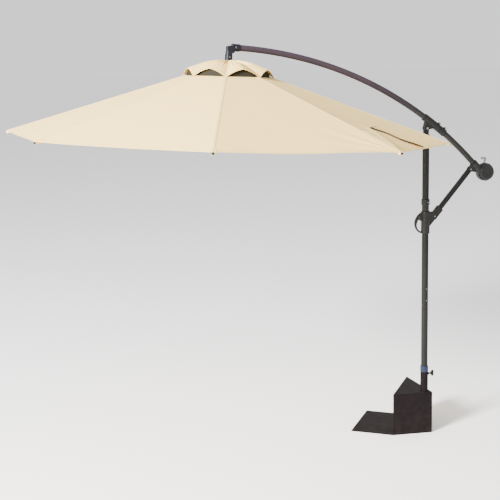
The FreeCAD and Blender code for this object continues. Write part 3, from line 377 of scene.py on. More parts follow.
def canvas(name, colour):
    """Plain-woven polyester cloth, slightly see-through, darker within a centimetre of its edges, with
    painted shade lines beside the seam tapes and along the hem's fold.
    """
    look = Look(name, colour, 0.86, Sheen_Weight=0.06, Sheen_Roughness=0.6, Specular_IOR_Level=0.3)
    across, along = look.own_uv("weave")
    edge = look.attribute("edge")
    broad = look.noise(3.2, 4.0)
    slub = look.noise(60.0, 3.0, (1.0, 1.0, 0.2))
    tone = look.blend(broad * 0.6 + slub * 0.4, colour, shade(colour, (0.965, 0.957, 0.94)))
    # One darker colour serves the band along the cloth's edges and the painted shade lines.
    edge_and_shade_tone = shade(colour, (0.56, 0.52, 0.50))
    # Painted shade: thin darker lines along the seam tapes' edges and along the hem's fold, where the cloth
    # steps up.
    seam_edge_shade = (across.do("ABSOLUTE") - SEAM_HALF).do("ABSOLUTE").between(0.0028, 0.0)
    hem_fold_shade = (edge - HEM_W).do("ABSOLUTE").between(0.0030, 0.0)
    lines = seam_edge_shade.do("MAXIMUM", hem_fold_shade) * 0.75
    # Darker within a centimetre of the cloth's edge, plus the painted shade lines.
    edge_dark_and_shade = (edge.between(0.010, 0.0) * 0.5).do("MAXIMUM", lines)
    look.feed("Base Color", look.blend(edge_dark_and_shade, tone, edge_and_shade_tone))
    yarn = across.wave(1100.0) + along.wave(1100.0)
    look.relief(yarn * 0.25 + slub * 0.8 + edge.between(0.004, 0.0) * -1.2, 0.00022)
    glow = look.add("ShaderNodeBsdfTranslucent", {"Color": GLOW})
    both = look.add("ShaderNodeMixShader", [GLOW_SHARE, look.shader.outputs[0], glow.outputs[0]])
    look.join(both.outputs[0], look.tree.nodes["Material Output"].inputs["Surface"])
    return look.material


def netting(name, colour):
    """Knotless vent netting: threads both ways with open holes."""
    look = Look(name, colour, 0.8, Specular_IOR_Level=0.12)
    across, along = look.own_uv("weave")
    pitch = 310.0
    warp = across.wave(pitch).do("ABSOLUTE").between(0.10, 0.25)
    weft = along.wave(pitch).do("ABSOLUTE").between(0.10, 0.25)
    hem = look.attribute("edge").between(0.012, 0.010)
    look.feed("Alpha", warp.do("MAXIMUM", weft).do("MAXIMUM", hem))
    look.feed("Base Color", look.blend(look.noise(40.0, 3.0), colour, shade(colour, 1.35)))
    look.relief(warp + weft, 0.0002)
    return look.material


def braid(name, colour):
    """Braided cord."""
    look = Look(name, colour, 0.75, Sheen_Weight=0.2)
    ply = look.noise(500.0, 2.0, (1.0, 1.0, 3.0))
    look.feed("Base Color", look.blend(ply, shade(colour, 0.75), colour))
    look.relief(ply, 0.0003)
    return look.material


def cast_iron(name, colour):
    """Rough cast iron with pits."""
    look = Look(name, colour, 0.7, metallic=0.6)
    pits = look.noise(240.0, 5.0)
    look.feed("Base Color", look.blend(pits, colour, shade(colour, 1.7)))
    look.relief(pits, 0.0008)
    return look.material


LOOKS = {
    "base_paint": powder_coat("Base_powder_coat", (0.0052, 0.0035, 0.0040), (0.018, 0.014, 0.014), 0.55,
                              dust=0.02, gloss=0.05),
    "mast_paint": powder_coat("Mast_powder_coat", (0.0085, 0.0084, 0.0076), (0.030, 0.030, 0.028), 0.40,
                              dust=0.01),
    "casting_paint": powder_coat("Casting_powder_coat", (0.0075, 0.0072, 0.0066), (0.03, 0.03, 0.03), 0.36),
    # The arm's last colour is a painted reflection along its lower end.
    "arm_paint": powder_coat("Arm_powder_coat", (0.030, 0.021, 0.028), (0.085, 0.065, 0.080), 0.34,
                             gloss=0.16, painted_reflection_end=(0.0100, 0.0098, 0.0080)),
    "rib_paint": powder_coat("Rib_powder_coat", (0.016, 0.0155, 0.015), (0.05, 0.05, 0.05), 0.45),
    "fitting_plastic": moulded("Fitting_plastic", (0.0110, 0.0108, 0.0098), 0.42),
    "hub_plastic": moulded("Hub_plastic", (0.0075, 0.0080, 0.0125), 0.30),
    "bush_plastic": moulded("Bush_plastic", (0.0100, 0.0100, 0.0098), 0.40),
    "pulley_plastic": moulded("Pulley_nylon", (0.62, 0.60, 0.55), 0.35, 0.00005),
    "crank_plastic": moulded("Crank_grip_plastic", (0.13, 0.13, 0.135), 0.4),
    "crank_metal": bare_metal("Crank_satin_aluminium", (0.24, 0.24, 0.25), 0.26),
    "bolt_steel": bare_metal("Zinc_plated_steel", (0.26, 0.26, 0.265), 0.32),
    "ballast_iron": cast_iron("Ballast_iron", (0.07, 0.065, 0.06)),
    "canopy_fabric": canvas("Canopy_canvas", (0.960, 0.675, 0.215)),
    "vent_mesh": netting("Vent_netting", (0.0165, 0.0150, 0.0098)),
    "cord": braid("Lift_cord_braid", (0.60, 0.58, 0.52)),
}
SOCKET_RING = moulded("Socket_ring_plastic", (0.011, 0.016, 0.040), 0.30)
THREAD = moulded("Sewing_thread", (0.70, 0.60, 0.44), 0.6, 0.00003)
BINDING = canvas("Seam_tape", (0.935, 0.650, 0.205))
# Near-black colour of the binding along the slit flap's edge, standing in for the shadow line under it:
# painted shadow.
SHADOW_PIPING = moulded("Slit_piping", (0.020, 0.018, 0.015), 0.8, 0.0002)


def finish_cad():
    """Gives every CAD node the look of its material slot."""
    for row in frame["record"]["subparts"]:
        mesh = frame["nodes"][row["node"]].data
        mesh.materials.clear()
        mesh.materials.append(SOCKET_RING if row["node"] == "socket_liner" else LOOKS[row["material_slot"]])


# ---------------------------------------------------------------- mesh helpers
def piece(name, points, faces, material, smooth_below=None):
    """A mesh object at the origin, smooth where its faces meet at less than smooth_below degrees."""
    mesh = bpy.data.meshes.new(name)
    mesh.from_pydata([tuple(p) for p in points], [], faces)
    mesh.materials.append(material)
    if smooth_below is not None:
        mesh.shade_smooth()
        mesh.set_sharp_from_angle(angle=math.radians(smooth_below))
    mesh.update()
    obj = bpy.data.objects.new(name, mesh)
    bpy.context.scene.collection.objects.link(obj)
    return obj


def shell(top, bottom):
    """Points and faces of a closed shell between two grids of points of the same size."""
    rows = len(top)
    cols = len(top[0])
    points = [p for row in top for p in row] + [p for row in bottom for p in row]
    below = rows * cols
    faces = []
    for i in range(rows - 1):
        for j in range(cols - 1):
            a = i * cols + j
            quad = (a, a + cols, a + cols + 1, a + 1)
            faces.append(quad)
            faces.append(tuple(below + v for v in reversed(quad)))
    rim = [j for j in range(cols)]
    rim += [i * cols + cols - 1 for i in range(1, rows)]
    rim += [(rows - 1) * cols + j for j in range(cols - 2, -1, -1)]
    rim += [i * cols for i in range(rows - 2, 0, -1)]
    for n, a in enumerate(rim):
        b = rim[(n + 1) % len(rim)]
        faces.append((a, b, b + below, a + below))
    return points, faces


def loft(rings, closed=False):
    """Points and faces of a solid swept through rings of points, ends capped unless closed."""
    count = len(rings[0])
    points = [p for ring in rings for p in ring]
    faces = []
    last = len(rings) if closed else len(rings) - 1
    for i in range(last):
        a = i * count
        b = ((i + 1) % len(rings)) * count
        for j in range(count):
            n = (j + 1) % count
            faces.append((a + j, a + n, b + n, b + j))
    if not closed:
        faces.append(tuple(reversed(range(count))))
        faces.append(tuple(range(len(points) - count, len(points))))
    return points, faces


def turned_outwards(obj):
    """Makes the faces of a closed mesh look outwards."""
    bm = bmesh.new()
    bm.from_mesh(obj.data)
    bmesh.ops.recalc_face_normals(bm, faces=bm.faces)
    bm.to_mesh(obj.data)
    bm.free()
    return obj


def axes_for(direction):
    """Two unit vectors square to a direction."""
    d = Vector(direction).normalized()
    side = d.cross(Vector((0, 0, 1)))
    if side.length < 0.1:
        side = d.cross(Vector((0, 1, 0)))
    side.normalize()
    return side, d.cross(side)


def ring_round(centre, u, v, radius, sides):
    """A circle of points in the plane of u and v."""
    return [centre + (u * math.cos(a) + v * math.sin(a)) * radius
            for a in (2 * math.pi * n / sides for n in range(sides))]


def lathe(at, direction, profile):
    """Rings of a turned solid: profile is (distance along direction, radius)."""
    d = Vector(direction).normalized()
    u, v = axes_for(d)
    return [ring_round(Vector(at) + d * along, u, v, radius, TURNED_SIDES) for along, radius in profile]


def set_weave(obj, layout, edge):
    """Own UV in metres and each corner's distance to the nearest sewn edge."""
    mesh = obj.data
    uv = mesh.uv_layers.new(name="weave")
    verts = np.zeros(len(mesh.loops), np.int32)
    mesh.loops.foreach_get("vertex_index", verts)
    uv.data.foreach_set("uv", np.array(layout, np.float32)[verts].ravel())
    attribute = mesh.attributes.new("edge", "FLOAT", "POINT")
    attribute.data.foreach_set("value", np.array(edge, np.float32))


def sewn_piece(name, outer, inner, material, crease, layout, edge):
    """A closed sheet between two grids of points, with its weave layout; both sides share the layout."""
    points, faces = shell(outer, inner)
    obj = turned_outwards(piece(name, points, faces, material, crease))
    set_weave(obj, layout * 2, edge * 2)
    return obj


def both_sides(halves):
    """Columns from one edge of a gore to the other: side of the rib, and share of the way from it."""
    return [(-1, t) for t in reversed(halves[1:])] + [(1, t) for t in halves]


# ---------------------------------------------------------------- repeated stitches
class Steps:
    """A geometry-node tree, built one node at a time."""

    def __init__(self, name, inputs):
        self.tree = bpy.data.node_groups.new(name, "GeometryNodeTree")
        self.ids = {}
        self.tree.interface.new_socket("Geometry", in_out="INPUT", socket_type="NodeSocketGeometry")
        for label, kind in inputs:
            made = self.tree.interface.new_socket(label, in_out="INPUT", socket_type=kind)
            self.ids[label] = made.identifier
        self.tree.interface.new_socket("Geometry", in_out="OUTPUT", socket_type="NodeSocketGeometry")
        self.start = self.tree.nodes.new("NodeGroupInput")
        self.end = self.tree.nodes.new("NodeGroupOutput")

    def add(self, kind, inputs, **settings):
        """A node with its settings, then the values or links of its sockets. Gives its first output."""
        node = self.tree.nodes.new(kind)
        for key, value in settings.items():
            setattr(node, key, value)
        for key, value in inputs.items():
            if isinstance(value, bpy.types.NodeSocket):
                self.tree.links.new(value, node.inputs[key])
            else:
                node.inputs[key].default_value = value
        return node.outputs[0]

    def given(self, label):
        return self.start.outputs[label]


def stitch_steps():
    """Short round stitches set along a line, at a pitch."""
    steps = Steps("Stitches", [("Pitch", "NodeSocketFloat"), ("Stitch size", "NodeSocketVector"),
                               ("Thread", "NodeSocketMaterial")])
    line = steps.add("GeometryNodeResampleCurve",
                     {"Curve": steps.given("Geometry"), "Length": steps.given("Pitch")}, mode="LENGTH")
    bead = steps.add("GeometryNodeMeshIcoSphere", {"Radius": 1.0, "Subdivisions": 1})
    tangent = steps.add("GeometryNodeInputTangent", {})
    turn = steps.add("FunctionNodeAlignRotationToVector", {"Vector": tangent}, axis="Z")
    beads = steps.add("GeometryNodeInstanceOnPoints", {"Points": line, "Instance": bead, "Rotation": turn,
                                                       "Scale": steps.given("Stitch size")})
    made = steps.add("GeometryNodeRealizeInstances", {"Geometry": beads})
    made = steps.add("GeometryNodeSetMaterial", {"Geometry": made, "Material": steps.given("Thread")})
    steps.tree.links.new(made, steps.end.inputs[0])
    return steps


STITCH_STEPS = stitch_steps()


def stitched(name, runs):
    """One mesh of stitches along several lines of points."""
    curve = bpy.data.curves.new(name + "_line", "CURVE")
    curve.dimensions = "3D"
    for run in runs:
        spline = curve.splines.new("POLY")
        spline.points.add(len(run) - 1)
        for n, p in enumerate(run):
            spline.points[n].co = (*p, 1.0)
    line = bpy.data.objects.new(name + "_line", curve)
    bpy.context.scene.collection.objects.link(line)
    modifier = line.modifiers.new("Stitches", "NODES")
    modifier.node_group = STITCH_STEPS.tree
    modifier[STITCH_STEPS.ids["Pitch"]] = STITCH_PITCH
    modifier[STITCH_STEPS.ids["Stitch size"]] = STITCH_SIZE
    modifier[STITCH_STEPS.ids["Thread"]] = THREAD
    bpy.context.view_layer.update()
    depsgraph = bpy.context.evaluated_depsgraph_get()
    mesh = bpy.data.meshes.new_from_object(line.evaluated_get(depsgraph), depsgraph=depsgraph)
    bpy.data.objects.remove(line)
    mesh.name = name
    mesh.shade_smooth()
    obj = bpy.data.objects.new(name, mesh)
    bpy.context.scene.collection.objects.link(obj)
    return obj


# ---------------------------------------------------------------- cloth shapes, in the hub's axes
def panel_axes(k, side):
    """Unit vectors out along the middle of the panel on one side of rib k, and across it from the rib."""
    middle = rib_turn(k) + side * HALF
    out = Vector((math.cos(middle), math.sin(middle), 0))
    return out, Vector((-math.sin(middle), math.cos(middle), 0)) * side


def panel_noise(panel, s, t):
    """Faint slack and pull lines of one panel, zero at its ribs. t is 0 and 1 at the ribs."""
    w = math.sin(math.pi * t) ** 1.5
    a = 1.7 * panel
    slow = math.sin(5.1 * t + 2.3 * s + a) * math.sin(3.7 * s + 1.3 * a)
    pull = math.sin((9.0 + panel % 3) * t + 2.0 * a) * ease(s, 0.45, 1.0)
    return w * (SLACK_H * slow * (0.3 + s) + PULL_H * pull)


def corner_folds(across, down):
    """Small folds that fan out from a rim corner. across and down are metres from it, along rim and slope."""
    reach = math.hypot(across, down)
    if reach < 1e-6 or reach > CORNER_FOLD_REACH:
        return 0.0
    fan = math.atan2(across, down)
    ends = ease(reach, 0.02, 0.12) * (1 - ease(reach, 0.2, CORNER_FOLD_REACH))
    return CORNER_FOLD_H * math.sin(13.0 * fan) * ease(fan, 0.05, 0.3) * ends


def pull_folds(across, down):
    """Two ridges running up from the corner beside the slit, one of them to the head of the slit."""
    height = 0.0
    for to_across, to_down, high, wide in PULL_RIDGES:
        length = math.hypot(to_across, to_down)
        forward = (across * to_across + down * to_down) / length
        beside = (across * to_down - down * to_across) / length
        ends = ease(forward, 0.0, 0.10) * (1 - ease(forward, 0.7 * length, 1.25 * length))
        height += high * math.exp(-(beside / wide) ** 2) * ends
    return height * ease(across, 0.0, 0.05)


def slit_share(s):
    """0 at the head of the slit and above it, 1 at the rim."""
    return max(0.0, (s - (1.0 - SLIT_L)) / SLIT_L)


def beside_slit(k, side):
    """Whether this half of gore k is one of the two that the slit parts."""
    return (k, side) in ((SLIT_PANEL[0], 1), (SLIT_PANEL[1], -1))


def cloth_point(k, side, s, t, layer=0.0):
    """Point of gore k in the hub's axes. side is 1 towards the next rib and -1 towards the one before.

    s goes from the eye to the rim, t from the rib to the line half way to the next rib,
    and layer lifts the point off the cloth's underside.
    """
    turn, across = panel_axes(k, side)
    e = t * (2 - t)
    inner = EYE_R * COS_HALF
    outer = CANOPY_R * COS_HALF - HEM_IN * e
    out = inner + (outer - inner) * s
    beside = (1 - t) * out * TAN_HALF
    panel = k if side > 0 else (k - 2) % RIBS + 1
    h = CLOTH_START - out / COS_HALF * FALL - DIP * e * s ** 1.4
    h += panel_noise(panel, s, 0.5 * t if side > 0 else 1.0 - 0.5 * t)
    down = (1 - s) * SLOPE_L
    if (k, side) == (SLIT_PANEL[0], 1):
        h += pull_folds(t * RIM_HALF, down)
    elif k == SLIT_PANEL[0]:
        h += corner_folds(t * RIM_HALF, down)
    q = slit_share(s)
    if q > 0 and beside_slit(k, side):
        beside += SLIT_GAP * ease(q, 0.0, 0.2) * ease(t, 0.6, 1.0)
    return turn * out - across * beside + Vector((0, 0, h + layer))


def cloth_thickness(s, t, k, side):
    """Folded hems at the rim and along the slit are thicker than the single cloth."""
    hem = (1 - s) * SLOPE_L < HEM_W
    if slit_share(s) > 0 and beside_slit(k, side) and (1 - t) * RIM_HALF < SLIT_HEM_W:
        hem = True
    return HEM_T if hem else CLOTH_T


def half_width(s):
    """Width of a flat gore from its rib to its edge."""
    return (EYE_R + (CANOPY_R - EYE_R) * s) * SIN_HALF


def gore(k):
    """The cloth on rib k, from half way to the rib before to half way to the next."""
    slope = [0.0, 0.01] + [0.02 + 0.94 * n / 46 for n in range(46)] + [0.966, 0.972, 0.976, 0.984, 0.992, 1.0]
    cols = both_sides([0.0, 0.012, 0.03] + [0.06 + 0.88 * n / 18 for n in range(18)]
                      + [0.955, 0.968, 0.980, 0.992, 1.0])
    outer, inner, layout, edge = [], [], [], []
    for s in slope:
        outer.append([HUB @ cloth_point(k, side, s, t, CLOTH_T) for side, t in cols])
        inner.append([HUB @ cloth_point(k, side, s, t, CLOTH_T - cloth_thickness(s, t, k, side))
                      for side, t in cols])
        layout += [(side * t * half_width(s), s * SLOPE_L) for side, t in cols]
        edge += [min((1 - s) * SLOPE_L, s * SLOPE_L + 0.004, 0.5)] * len(cols)
    obj = sewn_piece("Gore_%d" % k, outer, inner, LOOKS["canopy_fabric"], CLOTH_CREASE,
                     layout, edge)
    obj.data.set_sharp_from_angle(angle=math.radians(CLOTH_CREASE))
    return obj


def cap_point(k, side, s, t, layer=0.0):
    """Point of the vent cap over rib k, in the hub's axes; s and t as in cloth_point."""
    turn, across = panel_axes(k, side)
    edge_h = CLOTH_START - CAP_R * FALL + CAP_ABOVE_GORE
    eye_out = CAP_EYE_R * COS_HALF
    edge_out = CAP_R * COS_HALF * (1 - t) + CAP_MID_R * t
    out = eye_out + (edge_out - eye_out) * s
    beside = (1 - t) * out * TAN_HALF * (CAP_R * COS_HALF / edge_out * s + 1 - s)
    lift = CAP_LIFT * t * (1.60 - 0.60 * t)
    h = CAP_EYE_H + (edge_h - CAP_EYE_H) * s + lift * s ** 0.75
    h += CAP_CROWN * math.sin(math.pi * s) * (1 - 0.35 * t)
    pleats = math.sin(17 * t + 2.1 * k * side) * math.sin(math.pi * t)
    h += CAP_PLEAT_H * pleats * math.sin(math.pi * min(1.0, 1.5 * s)) * ease(s, 0.0, 0.25)
    h += CAP_WAVE_H * math.sin(11 * s + 1.9 * k) * math.sin(math.pi * s) * t
    return turn * out - across * beside + Vector((0, 0, h + layer))


def vent_cap(k):
    """The part of the vent cap that is over rib k."""
    slope = [n / 22 for n in range(21)] + [0.955, 0.962, 0.98, 1.0]
    cols = both_sides([n / 14 for n in range(15)])
    outer, inner, layout, edge = [], [], [], []
    for s in slope:
        thick = HEM_T if s > 0.958 else CLOTH_T
        outer.append([HUB @ cap_point(k, side, s, t, CLOTH_T) for side, t in cols])
        inner.append([HUB @ cap_point(k, side, s, t, CLOTH_T - thick) for side, t in cols])
        layout += [(side * t * (0.02 + 0.09 * s), s * CAP_R) for side, t in cols]
        edge += [(1 - s) * CAP_R] * len(cols)
    obj = sewn_piece("Vent_cap_%d" % k, outer, inner, LOOKS["canopy_fabric"], CLOTH_CREASE,
                     layout, edge)
    obj.data.set_sharp_from_angle(angle=math.radians(CLOTH_CREASE))
    return obj


def net_point(k, side, s, t, layer=0.0):
    """Point of the net over rib k, in the hub's axes: on the ribs, and up under the cap between them."""
    turn, across = panel_axes(k, side)
    at_rib = NET_EYE_R + (EYE_R + NET_LAP - NET_EYE_R) * s
    out = at_rib * COS_HALF
    beside = (1 - t) * out * TAN_HALF
    h = CLOTH_START - out / COS_HALF * FALL + 0.0002
    at_cap = (at_rib - CAP_EYE_R) / (CAP_R - CAP_EYE_R)
    room = cap_point(k, side, at_cap, t).z - NET_UNDER_CAP - h
    h += max(0.0, room) * ease(t, 0.0, 0.35) * ease(s, 1.0, 0.94)
    return turn * out - across * beside + Vector((0, 0, h + layer))


def vent_net(k):
    """The part of the net that is over rib k."""
    slope = [n / 12 for n in range(11)] + [0.88, 0.92, 0.94, 0.95, 0.96, 0.97, 0.98, 0.99, 1.0]
    cols = both_sides([n / 10 for n in range(11)])
    outer = [[HUB @ net_point(k, side, s, t, NET_T) for side, t in cols] for s in slope]
    inner = [[HUB @ net_point(k, side, s, t) for side, t in cols] for s in slope]
    layout = [(side * t * (NET_EYE_R + 0.2 * s) * SIN_HALF, s * NET_LENGTH)
              for s in slope for side, t in cols]
    edge = [min(s, 1 - s) * NET_LENGTH for s in slope for side, t in cols]
    return sewn_piece("Vent_net_%d" % k, outer, inner, LOOKS["vent_mesh"], SOFT_CREASE,
                      layout, edge)


def beside_rib(k, surface, d, s, up):
    """Point of a cloth surface at distance d from the middle of rib k, lifted up off the cloth."""
    middle_r, rim_r = (EYE_R, CANOPY_R) if surface is cloth_point else (CAP_EYE_R, CAP_R)
    reach = middle_r + (rim_r - middle_r) * s
    return HUB @ surface(k, 1 if d >= 0 else -1, s, abs(d) / (reach * SIN_HALF), CLOTH_T + up)


def seam_tape(k, surface, name, s0, s1, width):
    """Folded seam over a rib, sewn to both panels."""
    section = ((-1.0, 0.0), (-0.86, 0.0009), (-0.1, SEAM_UP), (0.1, SEAM_UP), (0.86, 0.0009), (1.0, 0.0),
               (0.0, -0.0003))
    rings = [[beside_rib(k, surface, width * share, s0 + (s1 - s0) * n / SEAM_ROWS, up)
              for share, up in section] for n in range(SEAM_ROWS + 1)]
    points, faces = loft(rings)
    obj = turned_outwards(piece(name, points, faces, BINDING, SOFT_CREASE))
    layout = [(0.004 * j, 0.03 * i) for i in range(SEAM_ROWS + 1) for j in range(len(section))]
    set_weave(obj, layout, [0.02] * len(layout))
    return obj


def gore_stitches(k):
    """Lines of stitches: two along each seam, and one along the hems of gore, cap, vent and slit."""
    steps = [n / 60 for n in range(61)]
    rows = [[beside_rib(k, cloth_point, d, 0.004 + 0.99 * s, SEAM_UP) for s in steps]
            for d in (-SEAM_STITCH_AT, SEAM_STITCH_AT)]
    rows += [[beside_rib(k, cap_point, d, 0.12 + 0.87 * s, SEAM_UP) for s in steps]
             for d in (-CAP_STITCH_AT, CAP_STITCH_AT)]
    cols = both_sides([n / 40 for n in range(41)])
    for surface, s in ((cloth_point, 0.9765), (cap_point, 0.962), (cloth_point, 0.012)):
        rows.append([HUB @ surface(k, side, s, t, CLOTH_T + STITCH_UP) for side, t in cols])
    for side in (1, -1):
        if beside_slit(k, side):
            rows.append([HUB @ cloth_point(k, side, 1 - SLIT_L * (1 - n / 50), 0.972, CLOTH_T + STITCH_UP)
                         for n in range(50)])
    return rows


def on_rib(obj, k, keep=CLOSED_WIDTH):
    """Rides on the rib and, unless keep is None, gets a mesh of its own."""
    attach(obj, "rib_%d" % k)
    if keep:
        turn = rib_turn(k)
        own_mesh(obj)


def corner_pocket(k):
    """Cloth pocket sewn under the corner, which the rib's end sits in."""
    slope = math.atan(FALL)
    u = Vector((math.cos(slope), 0, -math.sin(slope)))
    n = Vector((math.sin(slope), 0, math.cos(slope)))
    turn = Matrix.Rotation(rib_turn(k), 4, "Z")
    start = Vector((POCKET_R, 0, CLOTH_START - POCKET_R * FALL))
    walls = []
    for wall in (0.0, POCKET_T):
        half = POCKET_HALF + wall
        deep = POCKET_DEEP + wall
        lip = -0.0002 - wall
        top = -0.0012 - wall * 0.6
        outline = [(-half - POCKET_LIP, lip), (-half, top), (-half, -deep * 0.6),
                   (-half + POCKET_ROUND, -deep + 0.001), (0.0, -deep), (half - POCKET_ROUND, -deep + 0.001),
                   (half, -deep * 0.6), (half, top), (half + POCKET_LIP, lip)]
        rows = [start + u * (POCKET_L * i / (POCKET_ROWS - 1)) for i in range(POCKET_ROWS)]
        walls.append([[HUB @ turn @ (row + n * z + Vector((0, y, 0))) for y, z in outline] for row in rows])
    layout = [(0.05 + 0.004 * j, 0.008 * i) for i in range(POCKET_ROWS) for j in range(len(walls[0][0]))]
    return sewn_piece("Corner_pocket_%d" % k, walls[1], walls[0], BINDING, 40, layout,
                      [0.02] * len(layout))


def flap_reach(q):
    """How far past the slit the flap's free edge lies, from its rounded head (q = 0) to the rim."""
    free = 0.165 - 0.066 * ease(q, 0.0, 0.35) + 0.012 * ease(q, 0.35, 0.6) - 0.081 * ease(q, 0.6, 1.0)
    return free * math.sqrt(min(1.0, q / 0.045))


def flap_point(q, share, layer):
    """Point of the flap over the slit. share is 0 at its sewn side and 1 at its free edge."""
    s = 1 - SLIT_L * (1 - q)
    w = -FLAP_SEWN + (FLAP_SEWN + flap_reach(q)) * share
    k, side = (SLIT_PANEL[0], 1) if w > 0 else (SLIT_PANEL[1], -1)
    lift = 0.0012 + ease(share, 0.35, 1.0) * (0.0045 + 0.004 * ease(q, 0.3, 1.0)) * ease(q, 0.0, 0.1)
    return HUB @ cloth_point(k, side, s, 1 - abs(w) / half_width(s), CLOTH_T + lift + layer)


def slit_flap():
    """Cloth strip sewn beside the slit and lying over it, free along its other side."""
    along = [0.0, 0.004, 0.01, 0.02, 0.032] + [0.045 + 0.955 * n / 50 for n in range(51)]
    across = [n / 16 for n in range(15)] + [0.93, 0.965, 1.0]
    outer = [[flap_point(q, share, CLOTH_T) for share in across] for q in along]
    inner = [[flap_point(q, share, 0.0) for share in across] for q in along]
    layout = [(0.05 + 0.13 * share, 0.4 * q) for q in along for share in across]
    edge = [0.13 * (1 - share) for q in along for share in across]
    return sewn_piece("Slit_flap", outer, inner, LOOKS["canopy_fabric"], SOFT_CREASE,
                      layout, edge)


def slit_shadow_piping():
    """Dark binding along the free edge of the slit's flap, made near black to give the thin shadow line under
    the flap's edge: a guessed binding that is also a painted shadow.
    """
    line = [flap_point(q, 1.0, CLOTH_T / 2)
            for q in [0.0, 0.004, 0.01, 0.02, 0.03] + [n / 60 for n in range(3, 61)]]
    rings = []
    for n, p in enumerate(line):
        ahead = (line[min(n + 1, len(line) - 1)] - line[max(n - 1, 0)]).normalized()
        up = Vector((0, 0, 1)).cross(ahead).normalized()
        other = ahead.cross(up)
        radius = SHADOW_PIPING_R * min(1.0, 0.35 + n / 8)      # starts thin at the slit's head
        rings.append(ring_round(p, up, other, radius, 8))
    points, faces = loft(rings)
    return turned_outwards(piece("Slit_piping", points, faces, SHADOW_PIPING, 60))


def cut_size(outer, inner):
    """Width, length and area of one flat gore between two radii at the ribs."""
    wide = 2 * outer * COS_HALF * SIN_HALF
    long = (outer - inner * COS_HALF ** 2) / SLOPE_COS
    return wide, long, (outer ** 2 - inner ** 2) * SIN_HALF * COS_HALF / SLOPE_COS


def make_cloth():
    """Gores, vent cap, net, seams, stitches, pockets and slit, each on its rib."""
    for k in range(1, RIBS + 1):
        main = gore(k)
        cap = vent_cap(k)
        net = vent_net(k)
        tape = seam_tape(k, cloth_point, "Seam_%d" % k, 0.0, 0.994, SEAM_W)
        cap_tape = seam_tape(k, cap_point, "Cap_seam_%d" % k, 0.10, 0.995, CAP_SEAM_W)
        thread = stitched("Stitching_%d" % k, gore_stitches(k))
        pocket = corner_pocket(k)
        sewn = [tape, thread, pocket]
        folding = [main, thread]
        if k == SLIT_PANEL[1]:
            shadow_piping = slit_shadow_piping()
            sewn.append(shadow_piping)
            folding.append(shadow_piping)
            flap = slit_flap()
            on_rib(flap, k)
            FLAP_SEWN + flap_reach(0.05)
        for obj in folding:
            on_rib(obj, k)
        for obj in (cap, net):
            on_rib(obj, k, CLOSED_CAP)
        for obj in (tape, cap_tape, pocket):
            on_rib(obj, k, None)
        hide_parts("gore_%d" % k)
        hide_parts("vent_net")
        for cloth, outer, inner, with_pieces in ((main, CANOPY_R, EYE_R, sewn),
                                                 (cap, CAP_R, CAP_EYE_R, [cap_tape]),
                                                 (net, EYE_R, NET_EYE_R, [])):
            wide, long, area = cut_size(outer, inner)
            area *= FULLNESS.get(cloth.name[:-2], 1.0)


# ---------------------------------------------------------------- lift cord
def cord_piece(name, line):
    """A round cord along a line of points in the plane of arm and mast."""
    rings = []
    for n, p in enumerate(line):
        ahead = line[min(n + 1, len(line) - 1)] - line[max(n - 1, 0)]
        side = ahead.cross(Vector((0, 1, 0))).normalized()
        rings.append(ring_round(p, side, ahead.normalized().cross(side), CORD_R, ROUND_SIDES))
    points, faces = loft(rings)
    return turned_outwards(piece(name, points, faces, LOOKS["cord"], 40))


def make_cord():
    """The cord inside the arm stays with it; its drop to the runner is one fixed piece, down to the open
    runner.
    """
    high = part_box("lift_cord")[1]
    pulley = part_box("elbow_pulley")
    at = (pulley[0] + pulley[1]) / 2
    start = math.atan2(at.x - ARM_CENTRE.x, at.z - ARM_CENTRE.z)
    end = math.atan2(high.x - CORD_END_IN - ARM_CENTRE.x, CORD_END_Z - ARM_CENTRE.z)
    inside = [ARM_CENTRE + Vector((math.sin(a), 0, math.cos(a))) * ARM_BEND_R
              for a in (start + (end - start) * n / 80 for n in range(81))]
    down = HUB.to_3x3() @ Vector((0, 0, -1))
    wrap = []
    for n in range(13):
        a = start - (math.pi / 2 - TILT + start) * n / 12
        wrap.append(Vector((at.x, 0, at.z)) + Vector((math.sin(a), 0, math.cos(a))) * PULLEY_GROOVE_R)
    inner = cord_piece("Cord_in_arm", list(reversed(inside)) + wrap)
    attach(inner, "arm")
    top = wrap[-1]
    foot = HUB @ Vector((0, 0, -RUNNER_DROP + RUNNER_EYE))
    length = (top - foot).length
    drop = cord_piece("Cord_to_runner", [top + down * (length * n / 40) for n in range(41)])
    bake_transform(drop)
    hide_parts("lift_cord")
    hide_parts("lift_cord")


# ---------------------------------------------------------------- small fixings
# Height and radius along a head's outline, in head radii: its outside, then its middle
HEAD = ((0.18, 1.0), (0.42, 0.86), (0.56, 0.5), (0.6, 0.32))
RECESS = ((0.36, 0.24), (0.30, 0.05))
DOME = ((0.62, 0.05),)
HEAD_SUNK = 0.0006


def screw_head(name, at, radius, body, cross=True):
    """Pan-head screw with a recess, or domed rivet, facing -Y and sunk slightly into what it holds."""
    outline = HEAD + (RECESS if cross else DOME)
    profile = [(-HEAD_SUNK, radius)] + [(radius * up, radius * out) for up, out in outline]
    points, faces = loft(lathe(at, (0, -1, 0), profile))
    obj = turned_outwards(piece(name, points, faces, LOOKS["bolt_steel"], 32))
    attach(obj, body)


def weld_bead(name, height):
    """Rippled ring of weld round the socket tube, on the box."""
    rings = []
    for n in range(BEAD_STEPS):
        a = 2 * math.pi * n / BEAD_STEPS
        out = Vector((math.cos(a), math.sin(a), 0))
        ripple = WELD_RIPPLE * math.sin(23 * a) + 0.5 * WELD_RIPPLE * math.sin(37 * a + 1)
        rings.append(ring_round(Vector((0, 0, height)) + out * WELD_RING_R, out, Vector((0, 0, 1)),
                                WELD_R * (1 + ripple), ROUND_SIDES))
    points, faces = loft(rings, closed=True)
    obj = turned_outwards(piece(name, points, faces, LOOKS["base_paint"], 60))
    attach(obj, "base")


